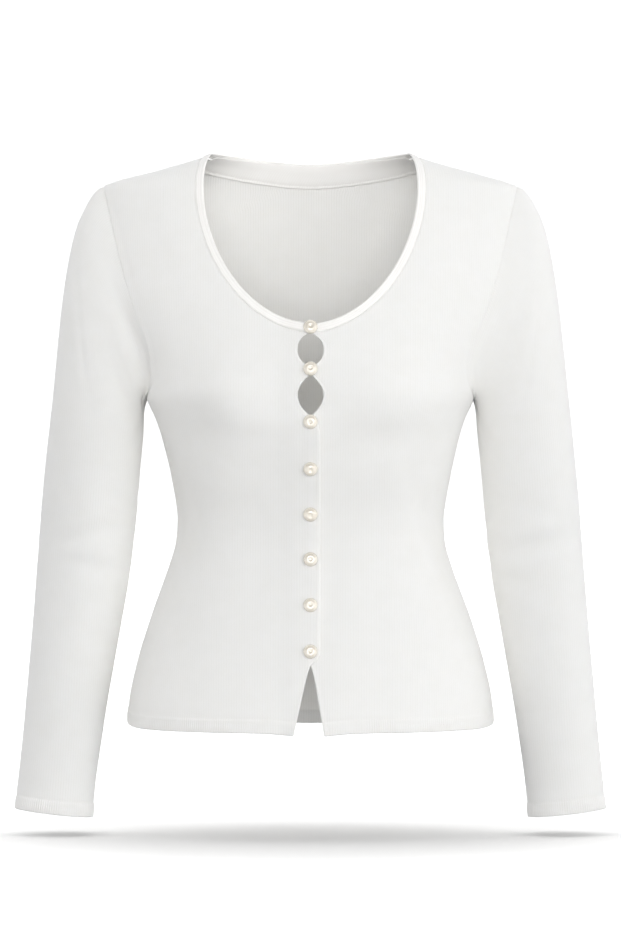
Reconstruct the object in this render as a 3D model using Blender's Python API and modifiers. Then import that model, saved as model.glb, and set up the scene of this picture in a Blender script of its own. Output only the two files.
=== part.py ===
"""A fitted scoop-neck button cardigan in fine knit, filled out as when it is worn.

Run it with blender --background --python part.py, or from Blender's text editor. The scene is in
metres with +Z up. The wearer faces -Y, so the wearer's left is at +X. The origin is in the middle
of the neck opening, level with the neck ends of the shoulder seams.

The sizes below are in millimetres. Every cloth panel lies on one shape, the worn form, which is
given by horizontal sections. A point of the form has a height and a girth: 0 at the centre front, 1
at the side seam, 2 at the centre back, and in between by its share of the way round. The panels are
drawn for the wearer's left and mirrored for the right, so "across" is the distance from the centre
line towards the side.
"""

import functools
import math
from collections import namedtuple

import bpy
import numpy as np

MM = 0.001

# Cloth and seams
WALL = 2.0  # thickness of the knit
SEAM_GAP = 0.3  # between two pieces that are sewn together
SEAM_GIRTH = 0.0014  # half the gap of a side or shoulder seam, as a share of the girth
ARMHOLE_RIDGE = 0.7  # how far the armhole seam stands up
ARMHOLE_RIDGE_WIDTH = 6.0
EDGE_ROLL = 0.6  # how far the button edges stand up
EDGE_ROLL_WIDTH = 2.6
FRONT_LAP_LIFT = 2.6  # the right front lies this far out where it covers the left one
FRONT_LAP_FLAT = 11.0  # it is lifted all the way from the edge to here
FRONT_LAP_FADE = 30.0  # and is back on the form here
LEAST_SHARES = (0.0, 0.025, 0.08, 0.16)  # no closer together are a front's first columns

# Neck
NECK_HALF = 98.0  # widest half width of the finished neck edge
NECK_TOP_HALF = 91.6  # half width at the shoulder seams
NECK_WIDEST = -35.0  # height of the widest place
NECK_BOTTOM = -161.0  # height of the neck edge at the centre front
NECK_ROUNDNESS = 1.85
BACK_NECK_DIP = 6.0  # how far the back neck drops from the shoulder seams
BACK_NECK_RISE = 1.8  # it first stands up a little behind the shoulder seams
BACK_NECK_ROUNDNESS = 1.3
BACK_NECK_SQUARING = 0.0325  # lines further from the edge are squarer, by this for each millimetre
BAND_WIDTH = 8.0
BAND_CROWN = 0.9  # how far the middle of the band stands up
BAND_MARGINS = [0.0, 1.5, BAND_WIDTH / 2, BAND_WIDTH - 1.5, BAND_WIDTH]
BAND_CROWNS = [0.0, BAND_CROWN * 0.75, BAND_CROWN, BAND_CROWN * 0.75, 0.0]
BAND_LAP = 5.0  # the band's ends reach this far past the centre front
BAND_FLAT_SHARE = 0.3  # the lower end's crown starts this share of the fade before the flat ends
FACING_HEIGHT = 21.5
FACING_MARGINS = [0.2, BAND_WIDTH / 2, BAND_WIDTH, FACING_HEIGHT * 0.65, FACING_HEIGHT]
FACING_WALL = 1.0
FACING_GAP = 0.8
FACING_FIRST_STEP = 1  # of the back neck's steps, this far behind the shoulder seam

# Front edges
LAP = 8.6  # each front reaches this far past the centre front
HOLE_HALF_WIDTH = 11.85
Hole = namedtuple("Hole", "height half_height roundness")
EYE_HOLES = [
    Hole(-184.9, 16.7, 2.6),
    Hole(-226.0, 19.4, 2.0),
]
SLIT_TOP = -471.0
SLIT_ROUND = 1.6  # the slit opens this far in its rounded top
SLIT_ROUND_LENGTH = 6.0
SLIT_SLOPE_RIGHT = 0.21  # the right front swings away more than the left one
SLIT_SLOPE_LEFT = 0.165

# Buttons
BUTTON_RADIUS = 6.75
BUTTON_SIDES = 14
BUTTON_HEIGHTS = [-165.4, -203.0] + [-250.0 - 41.7 * i for i in range(6)]

# The worn form
UNDERARM = -227.0
SHOULDER_TIP = -30.5
Section = namedtuple("Section", "height half_width front back squareness")
FORM = [
    Section(6.0, 80.0, 36.0, 56.0, 2.20),
    Section(0.0, 92.0, 40.0, 57.0, 2.20),
    Section(-10.0, 123.4, 45.0, 60.0, 2.20),
    Section(-20.0, 160.0, 50.0, 64.0, 2.20),
    Section(-26.0, 181.5, 53.5, 67.0, 2.20),
    Section(SHOULDER_TIP, 191.6, 56.0, 69.5, 2.20),
    Section(-50.0, 194.0, 66.0, 79.0, 2.20),
    Section(-80.0, 194.3, 78.0, 90.0, 2.20),
    Section(-115.0, 192.0, 91.5, 99.0, 2.22),
    Section(-150.0, 181.0, 103.0, 103.0, 2.30),
    Section(-180.0, 165.5, 110.5, 103.5, 2.42),
    Section(-206.0, 155.0, 115.0, 101.5, 2.50),
    Section(UNDERARM, 151.6, 117.0, 99.0, 2.55),
    Section(-247.0, 143.3, 117.0, 96.0, 2.55),
    Section(-270.0, 136.4, 114.0, 91.5, 2.50),
    Section(-303.0, 129.0, 105.0, 85.0, 2.40),
    Section(-340.0, 123.7, 96.5, 79.5, 2.35),
    Section(-360.0, 124.9, 95.0, 80.0, 2.35),
    Section(-380.0, 130.4, 96.0, 84.0, 2.35),
    Section(-396.0, 136.0, 98.0, 87.0, 2.35),
    Section(-433.0, 149.3, 103.5, 96.5, 2.35),
    Section(-471.0, 161.0, 108.5, 104.5, 2.35),
    Section(-508.0, 168.8, 112.0, 110.0, 2.35),
    Section(-545.0, 171.4, 114.5, 113.0, 2.35),
]
BUST_FULLNESS = 8.0
BUST_ACROSS = 82.0
BUST_HEIGHT = -240.0
BUST_WIDTH = 44.0
BUST_LENGTH = 56.0

# Where the armhole seam lies, seen from the front and from behind
Armhole = namedtuple("Armhole", "height front back")
ARMHOLE = [
    Armhole(SHOULDER_TIP, 191.6, 191.6),
    Armhole(-50.0, 187.0, 189.0),
    Armhole(-68.0, 182.8, 186.0),
    Armhole(-110.0, 172.8, 179.0),
    Armhole(-152.0, 160.3, 168.5),
    Armhole(-179.0, 149.5, 157.0),
    Armhole(-206.0, 146.0, 149.5),
    Armhole(UNDERARM, 151.6, 151.6),
]

# The height of the hem round the body
Hem = namedtuple("Hem", "girth height")
HEM = [
    Hem(-0.10, -536.8),
    Hem(0.00, -536.3),
    Hem(0.07, -534.6),
    Hem(0.20, -532.4),
    Hem(0.45, -532.0),
    Hem(0.75, -531.2),
    Hem(0.90, -528.6),
    Hem(1.00, -526.0),
    Hem(1.12, -528.0),
    Hem(1.45, -533.5),
    Hem(2.00, -536.0),
]
HEM_FADE = 90.0  # the hem's curve fades out this far up the body

# The sleeve's outline from the front
Line = namedtuple("Line", "height across")
SLEEVE_OUTER = [
    Line(SHOULDER_TIP, 191.6),
    Line(-33.0, 197.4),
    Line(-37.0, 201.8),
    Line(-43.0, 206.2),
    Line(-52.0, 211.0),
    Line(-61.5, 215.6),
    Line(-80.0, 221.2),
    Line(-100.0, 225.2),
    Line(-136.0, 230.6),
    Line(-173.0, 234.6),
    Line(-210.0, 238.4),
    Line(-247.0, 242.4),
    Line(-303.0, 248.2),
    Line(-340.0, 251.5),
    Line(-396.0, 255.6),
    Line(-452.0, 259.6),
    Line(-508.0, 264.0),
    Line(-545.0, 267.2),
    Line(-582.0, 271.0),
    Line(-606.5, 273.4),
]
SLEEVE_INNER = [
    Line(UNDERARM, 151.6),
    Line(-247.4, 153.6),
    Line(-266.0, 155.4),
    Line(-303.0, 158.9),
    Line(-340.0, 161.9),
    Line(-359.0, 163.9),
    Line(-396.0, 168.6),
    Line(-433.0, 175.0),
    Line(-471.0, 181.6),
    Line(-508.0, 187.9),
    Line(-545.0, 193.4),
    Line(-582.0, 198.4),
    Line(-614.5, 201.2),
]
# The sleeve's rings: where each meets the two lines, its half depth and its middle's way forward
Ring = namedtuple("Ring", "outer inner half_depth forward")
SLEEVE_RINGS = [
    Ring(SHOULDER_TIP, UNDERARM, 54.0, 0.0),
    Ring(-34.0, -228.0, 53.0, 0.0),
    Ring(-40.0, -229.5, 52.0, 0.0),
    Ring(-51.0, -231.5, 50.5, 0.0),
    Ring(-68.0, -234.0, 49.0, 0.0),
    Ring(-92.0, -237.5, 47.8, 0.0),
    Ring(-122.0, -242.0, 47.0, 0.0),
    Ring(-156.0, -248.5, 46.5, 0.0),
    Ring(-192.0, -258.0, 46.2, 0.0),
    Ring(-228.0, -273.0, 46.0, -1.0),
    Ring(-262.0, -292.0, 45.6, -2.0),
    Ring(-294.0, -313.0, 45.0, -3.0),
    Ring(-324.0, -337.0, 44.4, -4.0),
    Ring(-352.0, -362.5, 43.8, -4.5),
    Ring(-380.0, -390.0, 42.8, -4.0),
    Ring(-420.0, -430.0, 40.8, -1.0),
    Ring(-470.0, -480.0, 37.5, 5.0),
    Ring(-520.0, -529.5, 34.2, 11.0),
    Ring(-565.0, -574.0, 31.8, 16.0),
    Ring(-606.5, -614.5, 30.0, 20.0),
]
SLEEVE_HEAD = 7.0  # by this ring the sleeve has left the armhole's own shape
SLEEVE_FOLDS_START = 2.0  # the head has no folds before this ring
SLEEVE_FOLDS_FADE = 3.0  # and whole ones this many rings later

# The largest folds, as soft troughs: the middle, the half length, the half width and the depth
BodyFold = namedtuple("BodyFold", "across height slope half_length half_width depth")
BODY_FOLDS_LEFT = [
    BodyFold(112.0, -362.0, -0.36, 62.0, 9.0, 2.4),
    BodyFold(86.0, -286.0, 0.55, 34.0, 13.0, 1.8),
]
BODY_FOLDS_RIGHT = [
    BodyFold(104.0, -310.0, 0.22, 62.0, 12.0, 2.6),
    BodyFold(96.0, -392.0, -0.25, 40.0, 11.0, 1.4),
]
BACK_FOLDS = [
    BodyFold(88.0, -338.0, -0.30, 58.0, 12.0, 2.4),
    BodyFold(62.0, -352.0, 0.10, 44.0, 12.0, 1.6),
]
ArmFold = namedtuple("ArmFold", "turn height rise half_turn half_width depth")
ARM_FOLDS_RIGHT = [
    ArmFold(100.0, -352.0, 9.0, 52.0, 8.0, 2.4),
    ArmFold(112.0, -384.0, -6.0, 44.0, 8.0, 2.0),
    ArmFold(66.0, -188.0, -60.0, 20.0, 9.0, 1.8),
    ArmFold(262.0, -366.0, -5.0, 50.0, 9.0, 1.6),
]
ARM_FOLDS_LEFT = [
    ArmFold(96.0, -364.0, -8.0, 46.0, 9.0, 3.0),
    ArmFold(120.0, -398.0, 8.0, 40.0, 8.0, 1.8),
    ArmFold(70.0, -176.0, -50.0, 18.0, 9.0, 1.4),
    ArmFold(258.0, -372.0, 6.0, 50.0, 9.0, 1.8),
]

# Mesh steps
PANEL_COLUMNS = 11
ARMHOLE_ROWS = 15
RIDGE_COLUMN = (8, 12), (ARMHOLE_RIDGE_WIDTH, 24.0)  # by row, it leaves the seam at the underarm
BEND_ROWS = (7, 13)  # over these rows the rows bend, to come level to the underarm
BEND = 1.4
BACK_NECK_STEPS = 6
BACK_BLADE_ROWS = ARMHOLE_ROWS - 1 - BACK_NECK_STEPS  # down the centre back, beside the armhole
BACK_BLADE_END = -214.0
HOLE_ROWS = 18
BELT_ROWS = 10
SLIT_ROWS = 6
BACK_ROWS = 14
SLEEVE_SIDES = 2 * (ARMHOLE_ROWS - 1)  # so that the sleeve's points lie beside the panels' ones
SLEEVE_STEPS = 26
SLEEVE_CROWDING = 0.10  # how far the first rings crowd together

# Colours, as the cloth and the pearls show them
KNIT_COLOUR = (0.86, 0.85, 0.83)
PEARL_COLOUR = (0.86, 0.80, 0.66)


# ---------------------------------------------------------------- curves


def smooth_step(x):
    x = np.clip(x, 0.0, 1.0)
    return x * x * (3.0 - 2.0 * x)


def smooth_max(a, b, soft=0.8):
    return 0.5 * (a + b + np.sqrt((a - b) ** 2 + soft * soft))


def smooth_curve(xs, ys, x):
    """A smooth curve through the points (xs, ys) that makes no waves of its own."""
    xs, ys = np.asarray(xs, float), np.asarray(ys, float)
    if xs[0] > xs[-1]:
        xs, ys = xs[::-1], ys[::-1]
    step = np.diff(xs)
    slope = np.diff(ys) / step
    tangent = np.zeros_like(ys)
    tangent[0], tangent[-1] = slope[0], slope[-1]
    rising = slope[:-1] * slope[1:] > 0
    w1, w2 = 2 * step[1:] + step[:-1], step[1:] + 2 * step[:-1]
    safe = np.where(rising, slope[:-1] * slope[1:], 1.0)
    mean = (w1 + w2) * safe / np.where(rising, w1 * slope[1:] + w2 * slope[:-1], 1.0)
    tangent[1:-1] = np.where(rising, mean, 0.0)
    i = np.clip(np.searchsorted(xs, x) - 1, 0, len(step) - 1)
    u = np.clip((x - xs[i]) / step[i], 0.0, 1.0)
    return (
        ys[i] * (1 + 2 * u) * (1 - u) ** 2
        + tangent[i] * step[i] * u * (1 - u) ** 2
        + ys[i + 1] * u * u * (3 - 2 * u)
        - tangent[i + 1] * step[i] * u * u * (1 - u)
    )


def column(table, name):
    return [getattr(row, name) for row in table]


def read_table(table, x_name, y_name, x):
    return smooth_curve(column(table, x_name), column(table, y_name), x)


# ---------------------------------------------------------------- the worn form

HEIGHT_STEP = 0.5
HEIGHTS = np.arange(-560.0, 6.5, HEIGHT_STEP)
GIRTHS = np.linspace(0.0, 1.0, 401)
ANGLES = np.linspace(0.0, math.pi / 2, 512)
SIZES = {name: read_table(FORM, "height", name, HEIGHTS) for name in Section._fields[1:]}


def quarter(half_width, depth, squareness, angle):
    """A point of a rounded quarter section: angle 0 is at the centre, pi / 2 at the side."""
    power = 2.0 / squareness
    return half_width * np.sin(angle) ** power, depth * np.cos(angle) ** power


def angle_table(depth_name):
    """For each height, the angle at each equal step of the way round from centre to side."""
    rows = []
    for width, depth, square in zip(SIZES["half_width"], SIZES[depth_name], SIZES["squareness"]):
        x, y = quarter(width, depth, square, ANGLES)
        run = np.concatenate([[0.0], np.cumsum(np.hypot(np.diff(x), np.diff(y)))])
        rows.append(np.interp(GIRTHS, run / run[-1], ANGLES))
    return np.array(rows)


ANGLE_AT = {"front": angle_table("front"), "back": angle_table("back")}


def look_up(table, height, girth):
    """Reads a table of heights by girths between its entries."""
    h = np.clip((height - HEIGHTS[0]) / HEIGHT_STEP, 0, len(HEIGHTS) - 1.001)
    g = np.clip(girth, 0.0, 1.0) * (len(GIRTHS) - 1.001)
    i, j = h.astype(int), g.astype(int)
    u, v = h - i, g - j
    return (
        table[i, j] * (1 - u) * (1 - v)
        + table[i + 1, j] * u * (1 - v)
        + table[i, j + 1] * (1 - u) * v
        + table[i + 1, j + 1] * u * v
    )


def size_at(name, height):
    return np.interp(height, HEIGHTS, SIZES[name])


def on_form(girth, height):
    """Points of the form. A negative girth is past the centre front, one over 2 past the back."""
    girth, height = np.broadcast_arrays(np.asarray(girth, float), np.asarray(height, float))
    past_back = girth > 2.0
    way = np.where(past_back, 4.0 - girth, np.abs(girth))
    front = way <= 1.0
    share = np.where(front, way, 2.0 - way)
    angle = np.where(
        front,
        look_up(ANGLE_AT["front"], height, share),
        look_up(ANGLE_AT["back"], height, share),
    )
    depth = np.where(front, size_at("front", height), size_at("back", height))
    x, y = quarter(size_at("half_width", height), depth, size_at("squareness", height), angle)
    bust = BUST_FULLNESS * np.exp(
        -(((x - BUST_ACROSS) / BUST_WIDTH) ** 2) - ((height - BUST_HEIGHT) / BUST_LENGTH) ** 2
    )
    y = np.where(front, -y - bust * (1.0 - share**4), y)
    x = np.where((girth < 0.0) | past_back, -x, x)
    return np.stack([x, y, height], axis=-1)


def girth_of(across, height, side):
    """The girth of the point of the front or back that lies this far across at this height."""
    across, height = np.broadcast_arrays(np.asarray(across, float), np.asarray(height, float))
    width, square = size_at("half_width", height), size_at("squareness", height)
    angle = np.arcsin(np.clip(np.abs(across) / width, 0.0, 1.0) ** (square / 2.0))
    low, high = np.zeros_like(angle), np.ones_like(angle)
    for _ in range(24):
        middle = (low + high) / 2
        below = look_up(ANGLE_AT[side], height, middle) < angle
        low, high = np.where(below, middle, low), np.where(below, high, middle)
    share = np.sign(across) * (low + high) / 2
    return share if side == "front" else 2.0 - share


def form_normal(girth, height):
    """The outward direction of the form."""
    turn = on_form(girth + 0.004, height) - on_form(girth - 0.004, height)
    rise = on_form(girth, height + 1.5) - on_form(girth, height - 1.5)
    normal = np.cross(turn, rise)
    return normal / np.linalg.norm(normal, axis=-1, keepdims=True)


def shoulder_height(across):
    """The height of the shoulder seam this far across."""
    top = HEIGHTS > SHOULDER_TIP
    return np.interp(across, SIZES["half_width"][top][::-1], HEIGHTS[top][::-1])


# ---------------------------------------------------------------- outlines


def front_neck(step, margin):
    """The front neckline, margin outside the edge. Step 0 is at the shoulder, 1 in front."""
    top = shoulder_height(NECK_TOP_HALF + margin)
    bottom = NECK_BOTTOM - margin
    height = top + (bottom - top) * (1 - np.cos(math.pi * step)) / 2
    down = np.clip((NECK_WIDEST - height) / (NECK_WIDEST - bottom), 0.0, 1.0)
    up = np.clip((height - NECK_WIDEST) / (top - NECK_WIDEST), 0.0, 1.0)
    across = (NECK_HALF + margin) * (1 - down**NECK_ROUNDNESS) ** (1 / NECK_ROUNDNESS)
    return across - (NECK_HALF - NECK_TOP_HALF) * up**3, height


def back_neck(step, margin):
    """The back neckline. Step 0 is at the shoulder seam, 1 at the centre back."""
    half = NECK_TOP_HALF + margin
    top = shoulder_height(half)
    across = half * np.cos(math.pi / 2 * step)
    middle = shoulder_height(NECK_TOP_HALF) - BACK_NECK_DIP - margin
    roundness = BACK_NECK_ROUNDNESS - BACK_NECK_SQUARING * margin
    dip = np.clip(np.cos(math.pi / 2 * across / half), 0.0, 1.0) ** roundness
    return across, top + (middle - top) * dip + BACK_NECK_RISE * np.sin(math.pi * step)


def armhole(turn, side):
    """The armhole seam. Turn 0 is at the shoulder tip, 1 at the underarm."""
    height = SHOULDER_TIP + (UNDERARM - SHOULDER_TIP) * (1 - np.cos(math.pi * turn)) / 2
    return read_table(ARMHOLE, "height", side, height), height


def front_edge(height, slit_slope):
    """How far across the button edge of a front lies."""
    edge = np.full_like(height, -LAP)
    for hole in EYE_HOLES:
        from_middle = np.abs(height - hole.height) / hole.half_height
        edge = smooth_max(edge, HOLE_HALF_WIDTH * (1 - from_middle**hole.roundness))
    below = SLIT_TOP - height
    opened = SLIT_ROUND * (1 - np.exp(-np.maximum(below, 0) / SLIT_ROUND_LENGTH))
    slit = np.where(below > 0, opened + slit_slope * below, below)
    return smooth_max(edge, slit)


def hem_height(girth):
    return read_table(HEM, "girth", "height", girth)


def trough(over):
    """A trough with a low ridge on each side, against the distance from its middle line."""
    return (1 - over**2) * np.exp(-(over**2) / 1.6)


def body_folds(points, folds):
    """How far the cloth moves out, less than 0 in a trough."""
    move = np.zeros(points.shape[:-1])
    for fold in folds:
        tilt = math.atan(fold.slope)
        x, z = points[..., 0] - fold.across, points[..., 2] - fold.height
        along = z * math.cos(tilt) + x * math.sin(tilt)
        over = x * math.cos(tilt) - z * math.sin(tilt)
        length_share = along / fold.half_length
        move -= fold.depth * trough(over / fold.half_width) * np.exp(-(length_share**2))
    return move


# ---------------------------------------------------------------- meshes

GARMENT = "Button cardigan"


def garment_collection():
    collection = bpy.data.collections.new(GARMENT)
    bpy.context.scene.collection.children.link(collection)
    return collection


def material(name, colour, roughness):
    made = bpy.data.materials.new(name)
    made.use_nodes = True
    shader = made.node_tree.nodes["Principled BSDF"]
    shader.inputs["Base Color"].default_value = (*colour, 1.0)
    shader.inputs["Roughness"].default_value = roughness
    shader.inputs["Metallic"].default_value = 0.0
    return made


def piece(name, points, faces, finish, collection):
    """An object from points in millimetres and faces that point outwards."""
    mesh = bpy.data.meshes.new(name)
    mesh.from_pydata((np.asarray(points) * MM).tolist(), [], faces)
    mesh.materials.append(finish)
    mesh.shade_smooth()
    made = bpy.data.objects.new(name, mesh)
    collection.objects.link(made)
    return made


def wall_faces(points, rows, columns, flip, closed=False, open_right=None):
    """The faces of a cloth wall whose outer points come first, row by row, and then the inner ones.

    A closed wall goes all the way round. From row open_right on, the right edge has no rim, so that
    a mirrored half can join it there. A rim is split from the upper outer point to the lower inner
    one, which gives the two sides of a seam the same surface.
    """
    inner = rows * columns

    def rim(a, b):
        if points[a, 2] > points[b, 2]:
            return [(a, b, inner + b), (a, inner + b, inner + a)]
        return [(a, b, inner + a), (b, inner + b, inner + a)]

    faces = []
    wraps = columns if closed else columns - 1
    for r in range(rows - 1):
        for c in range(wraps):
            a, b = r * columns + c, r * columns + (c + 1) % columns
            d, e = a + columns, b + columns
            faces.append((a, d, e, b))
            faces.append((inner + a, inner + b, inner + e, inner + d))
    for c in range(wraps):
        a, b = c, (c + 1) % columns
        faces += rim(a, b)
        faces += rim(b + (rows - 1) * columns, a + (rows - 1) * columns)
    if not closed:
        for r in range(rows - 1):
            a, b = r * columns, (r + 1) * columns
            faces += rim(b, a)
            if open_right is None or r < open_right:
                faces += rim(a + columns - 1, b + columns - 1)
    return [face[::-1] for face in faces] if flip else faces


def cloth(name, outer, inner, finish, collection, side=1, closed=False, open_right=None):
    """A cloth wall between two grids of points, mirrored to the wearer's right where side is -1."""
    rows, columns = outer.shape[:2]
    points = np.concatenate([outer.reshape(-1, 3), inner.reshape(-1, 3)])
    points = points * np.array([side, 1.0, 1.0])
    faces = wall_faces(points, rows, columns, side < 0, closed, open_right)
    return piece(name, points, faces, finish, collection)


def edge_ridge(distance, height, width):
    """A seam or a rolled edge stands up and fades out this far from the edge."""
    return height * (1 - smooth_step(distance / width))


# ---------------------------------------------------------------- panels


def front_rows():
    """The heights of a front's rows along its button edge, closer where the edge turns."""
    top = NECK_BOTTOM - BAND_WIDTH - SEAM_GAP
    holes = np.linspace(top, -250.0, HOLE_ROWS + 1)[1:]
    belt = np.linspace(-250.0, SLIT_TOP + 13.0, BELT_ROWS + 1)[1:]
    slit_round = np.array([SLIT_TOP + 9.0, SLIT_TOP + 5.0, SLIT_TOP, SLIT_TOP - 6.0])
    slit = np.linspace(SLIT_TOP - 6.0, hem_height(np.array(0.0)), SLIT_ROWS - 2)[1:]
    return np.concatenate([holes, belt, slit_round, slit])


def panel_grid(neck_line, side, edge_girth, edge_rows):
    """The girth and height of each point of a half panel.

    Its rows run from the centre to the side: first from the neckline to the armhole, then from the
    centre edge to the side seam.
    """
    neck_across, neck_height = neck_line
    arm_across, arm_height = armhole(np.linspace(0.0, 1.0, ARMHOLE_ROWS), side)
    neck_girth = girth_of(neck_across, neck_height, side)
    arm_girth = girth_of(arm_across, arm_height, side)
    seam = 1.0 - SEAM_GIRTH if side == "front" else 1.0 + SEAM_GIRTH
    keep = np.minimum if side == "front" else np.maximum
    left = np.concatenate([neck_girth, edge_girth])
    left_height = np.concatenate([neck_height, edge_rows])
    start = left_height[ARMHOLE_ROWS - 1]
    down = (left_height[ARMHOLE_ROWS:] - start) / (edge_rows[-1] - start)
    side_hem = hem_height(np.array(1.0))
    right = np.concatenate([arm_girth, np.full_like(down, seam)])
    right_height = np.concatenate([arm_height, UNDERARM + (side_hem - UNDERARM) * down])
    across = np.linspace(0.0, 1.0, PANEL_COLUMNS + 1)
    girth = left[:, None] * (1 - across) + right[:, None] * across
    bend = 1.0 + BEND * smooth_step((np.arange(len(left)) - BEND_ROWS[0]) / np.ptp(BEND_ROWS))
    drop = 1.0 - (1.0 - across) ** bend[:, None]
    height = left_height[:, None] * (1 - drop) + right_height[:, None] * drop
    hem_fade = smooth_step(1 - (height - height[-1]) / HEM_FADE)
    height = height + hem_fade * (hem_height(girth) - height[-1])
    return keep(girth, seam), height


def panel_walls(girth, height, side, folds, lift=0.0, ridge=0.0):
    """The outer and inner points of a panel. The raised parts leave its inner side plain.

    Its edge on the armhole is mitred with the sleeve's.
    """
    form = on_form(girth, height)
    normal = form_normal(girth, height)
    _, mitre, away = armhole_seam()
    order = np.arange(ARMHOLE_ROWS) if side == "front" else -np.arange(ARMHOLE_ROWS)
    form[:ARMHOLE_ROWS, -1] -= away[order] * SEAM_GAP / 2
    normal[:ARMHOLE_ROWS, -1] = mitre[order]
    out = body_folds(form, folds) + lift
    outer = form + normal * (out + ridge)[..., None]
    inner = form + normal * (out - WALL)[..., None]
    return outer, inner


def along_rows(points):
    """How far each point is from the first and from the last point of its row."""
    step = np.linalg.norm(np.diff(points, axis=1), axis=-1)
    run = np.concatenate([np.zeros((len(points), 1)), np.cumsum(step, axis=1)], axis=1)
    return run, run[:, -1:] - run


def place_columns(girth, height):
    """Moves a front's columns to where its edge rolls and laps, and to the armhole's ridge."""
    form = on_form(girth, height)
    run, _ = along_rows(form)
    spread = np.linspace(0.0, 1.0, girth.shape[1])
    placed = []
    for r, length in enumerate(run[:, -1]):
        edge = form[r, 0, 0]
        reach = np.array([0.0, EDGE_ROLL_WIDTH, FRONT_LAP_FLAT - edge, FRONT_LAP_FADE - edge])
        first = np.maximum(reach / length, LEAST_SHARES)
        last = 1.0 - np.interp(r, *RIDGE_COLUMN) / length
        even = np.linspace(first[-1], last, len(spread) - len(first))[1:]
        target = np.concatenate([first, even, [1.0]])
        share = np.interp(target, run[r] / length, spread)
        placed.append([np.interp(share, spread, girth[r]), np.interp(share, spread, height[r])])
    placed = np.array(placed)
    return placed[:, 0], placed[:, 1]


def front(name, side, slit_slope, folds, finish, collection):
    rows = front_rows()
    edge = girth_of(front_edge(rows, slit_slope), rows, "front")
    neck_line = front_neck(np.linspace(0.0, 1.0, ARMHOLE_ROWS), BAND_WIDTH + SEAM_GAP)
    girth, height = place_columns(*panel_grid(neck_line, "front", edge, rows))
    flat = on_form(girth, height)
    from_edge, from_side = along_rows(flat)
    is_edge_row = (np.arange(len(girth)) >= ARMHOLE_ROWS)[:, None]
    roll = np.where(is_edge_row, edge_ridge(from_edge, EDGE_ROLL, EDGE_ROLL_WIDTH), 0.0)
    seam = np.where(is_edge_row, 0.0, edge_ridge(from_side, ARMHOLE_RIDGE, ARMHOLE_RIDGE_WIDTH))
    lift = 0.0
    if side < 0:
        fade = (flat[..., 0] - FRONT_LAP_FLAT) / (FRONT_LAP_FADE - FRONT_LAP_FLAT)
        lift = FRONT_LAP_LIFT * (1 - smooth_step(fade))
    else:
        roll = roll * smooth_step(flat[:, :1, 0] / LAP + 1.0)
    outer, inner = panel_walls(girth, height, "front", folds, lift, roll + seam)
    return cloth(name, outer, inner, finish, collection, side)


def back(finish, collection):
    neck_line = back_neck(np.linspace(0.0, 1.0, BACK_NECK_STEPS + 1), BAND_WIDTH + SEAM_GAP)
    blade = np.linspace(neck_line[1][-1], BACK_BLADE_END, BACK_BLADE_ROWS + 1)[1:]
    rows = np.linspace(BACK_BLADE_END, hem_height(np.array(2.0)), BACK_ROWS + 1)[1:]
    rows = np.concatenate([blade, rows])
    girth, height = panel_grid(neck_line, "back", np.full_like(rows, 2.0), rows)
    flat = on_form(girth, height)
    _, from_side = along_rows(flat)
    is_edge_row = (np.arange(len(girth)) >= ARMHOLE_ROWS)[:, None]
    seam = np.where(is_edge_row, 0.0, edge_ridge(from_side, ARMHOLE_RIDGE, ARMHOLE_RIDGE_WIDTH))
    outer, inner = panel_walls(girth, height, "back", BACK_FOLDS, 0.0, seam)
    outer[BACK_NECK_STEPS:, 0, 0] = 0.0
    inner[BACK_NECK_STEPS:, 0, 0] = 0.0
    outer, inner = outer[:, ::-1], inner[:, ::-1]
    made = cloth("back", outer, inner, finish, collection, open_right=BACK_NECK_STEPS)
    mirror = made.modifiers.new("Other half", "MIRROR")
    mirror.use_axis[0] = True
    mirror.merge_threshold = 0.0001
    return made


# ---------------------------------------------------------------- sleeves


def arm_ring(step):
    """The ends of a ring's long axis and its half depth, at a step between rings."""
    count = np.arange(len(SLEEVE_RINGS))
    value = {name: smooth_curve(count, column(SLEEVE_RINGS, name), step) for name in Ring._fields}
    outer = read_table(SLEEVE_OUTER, "height", "across", value["outer"])
    inner = read_table(SLEEVE_INNER, "height", "across", value["inner"])
    y = -value["forward"]
    return (
        np.stack([outer, y, value["outer"]], axis=-1),
        np.stack([inner, y, value["inner"]], axis=-1),
        value["half_depth"],
    )


def arm_oval(turn, step):
    """A point of a plain oval ring. Turn 0 is outside, a quarter is in front, a half is inside."""
    top, bottom, depth = arm_ring(step)
    angle = 2 * math.pi * turn
    point = (top + bottom) / 2 + (top - bottom) / 2 * np.cos(angle)[..., None]
    point[..., 1] -= depth * np.sin(angle)
    return point


def sleeve_surface(turn, step, seam):
    """The sleeve's outer points: the armhole's own shape at step 0, plain ovals past its head."""
    head = (1 - smooth_step(step / SLEEVE_HEAD))[..., None]
    return arm_oval(turn, step) + (seam - arm_oval(turn[0], np.zeros(SLEEVE_SIDES))) * head


def surface_normal(points):
    around = np.roll(points, -1, axis=1) - np.roll(points, 1, axis=1)
    normal = np.cross(around, np.gradient(points, axis=0))
    return normal / np.linalg.norm(normal, axis=-1, keepdims=True)


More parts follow.
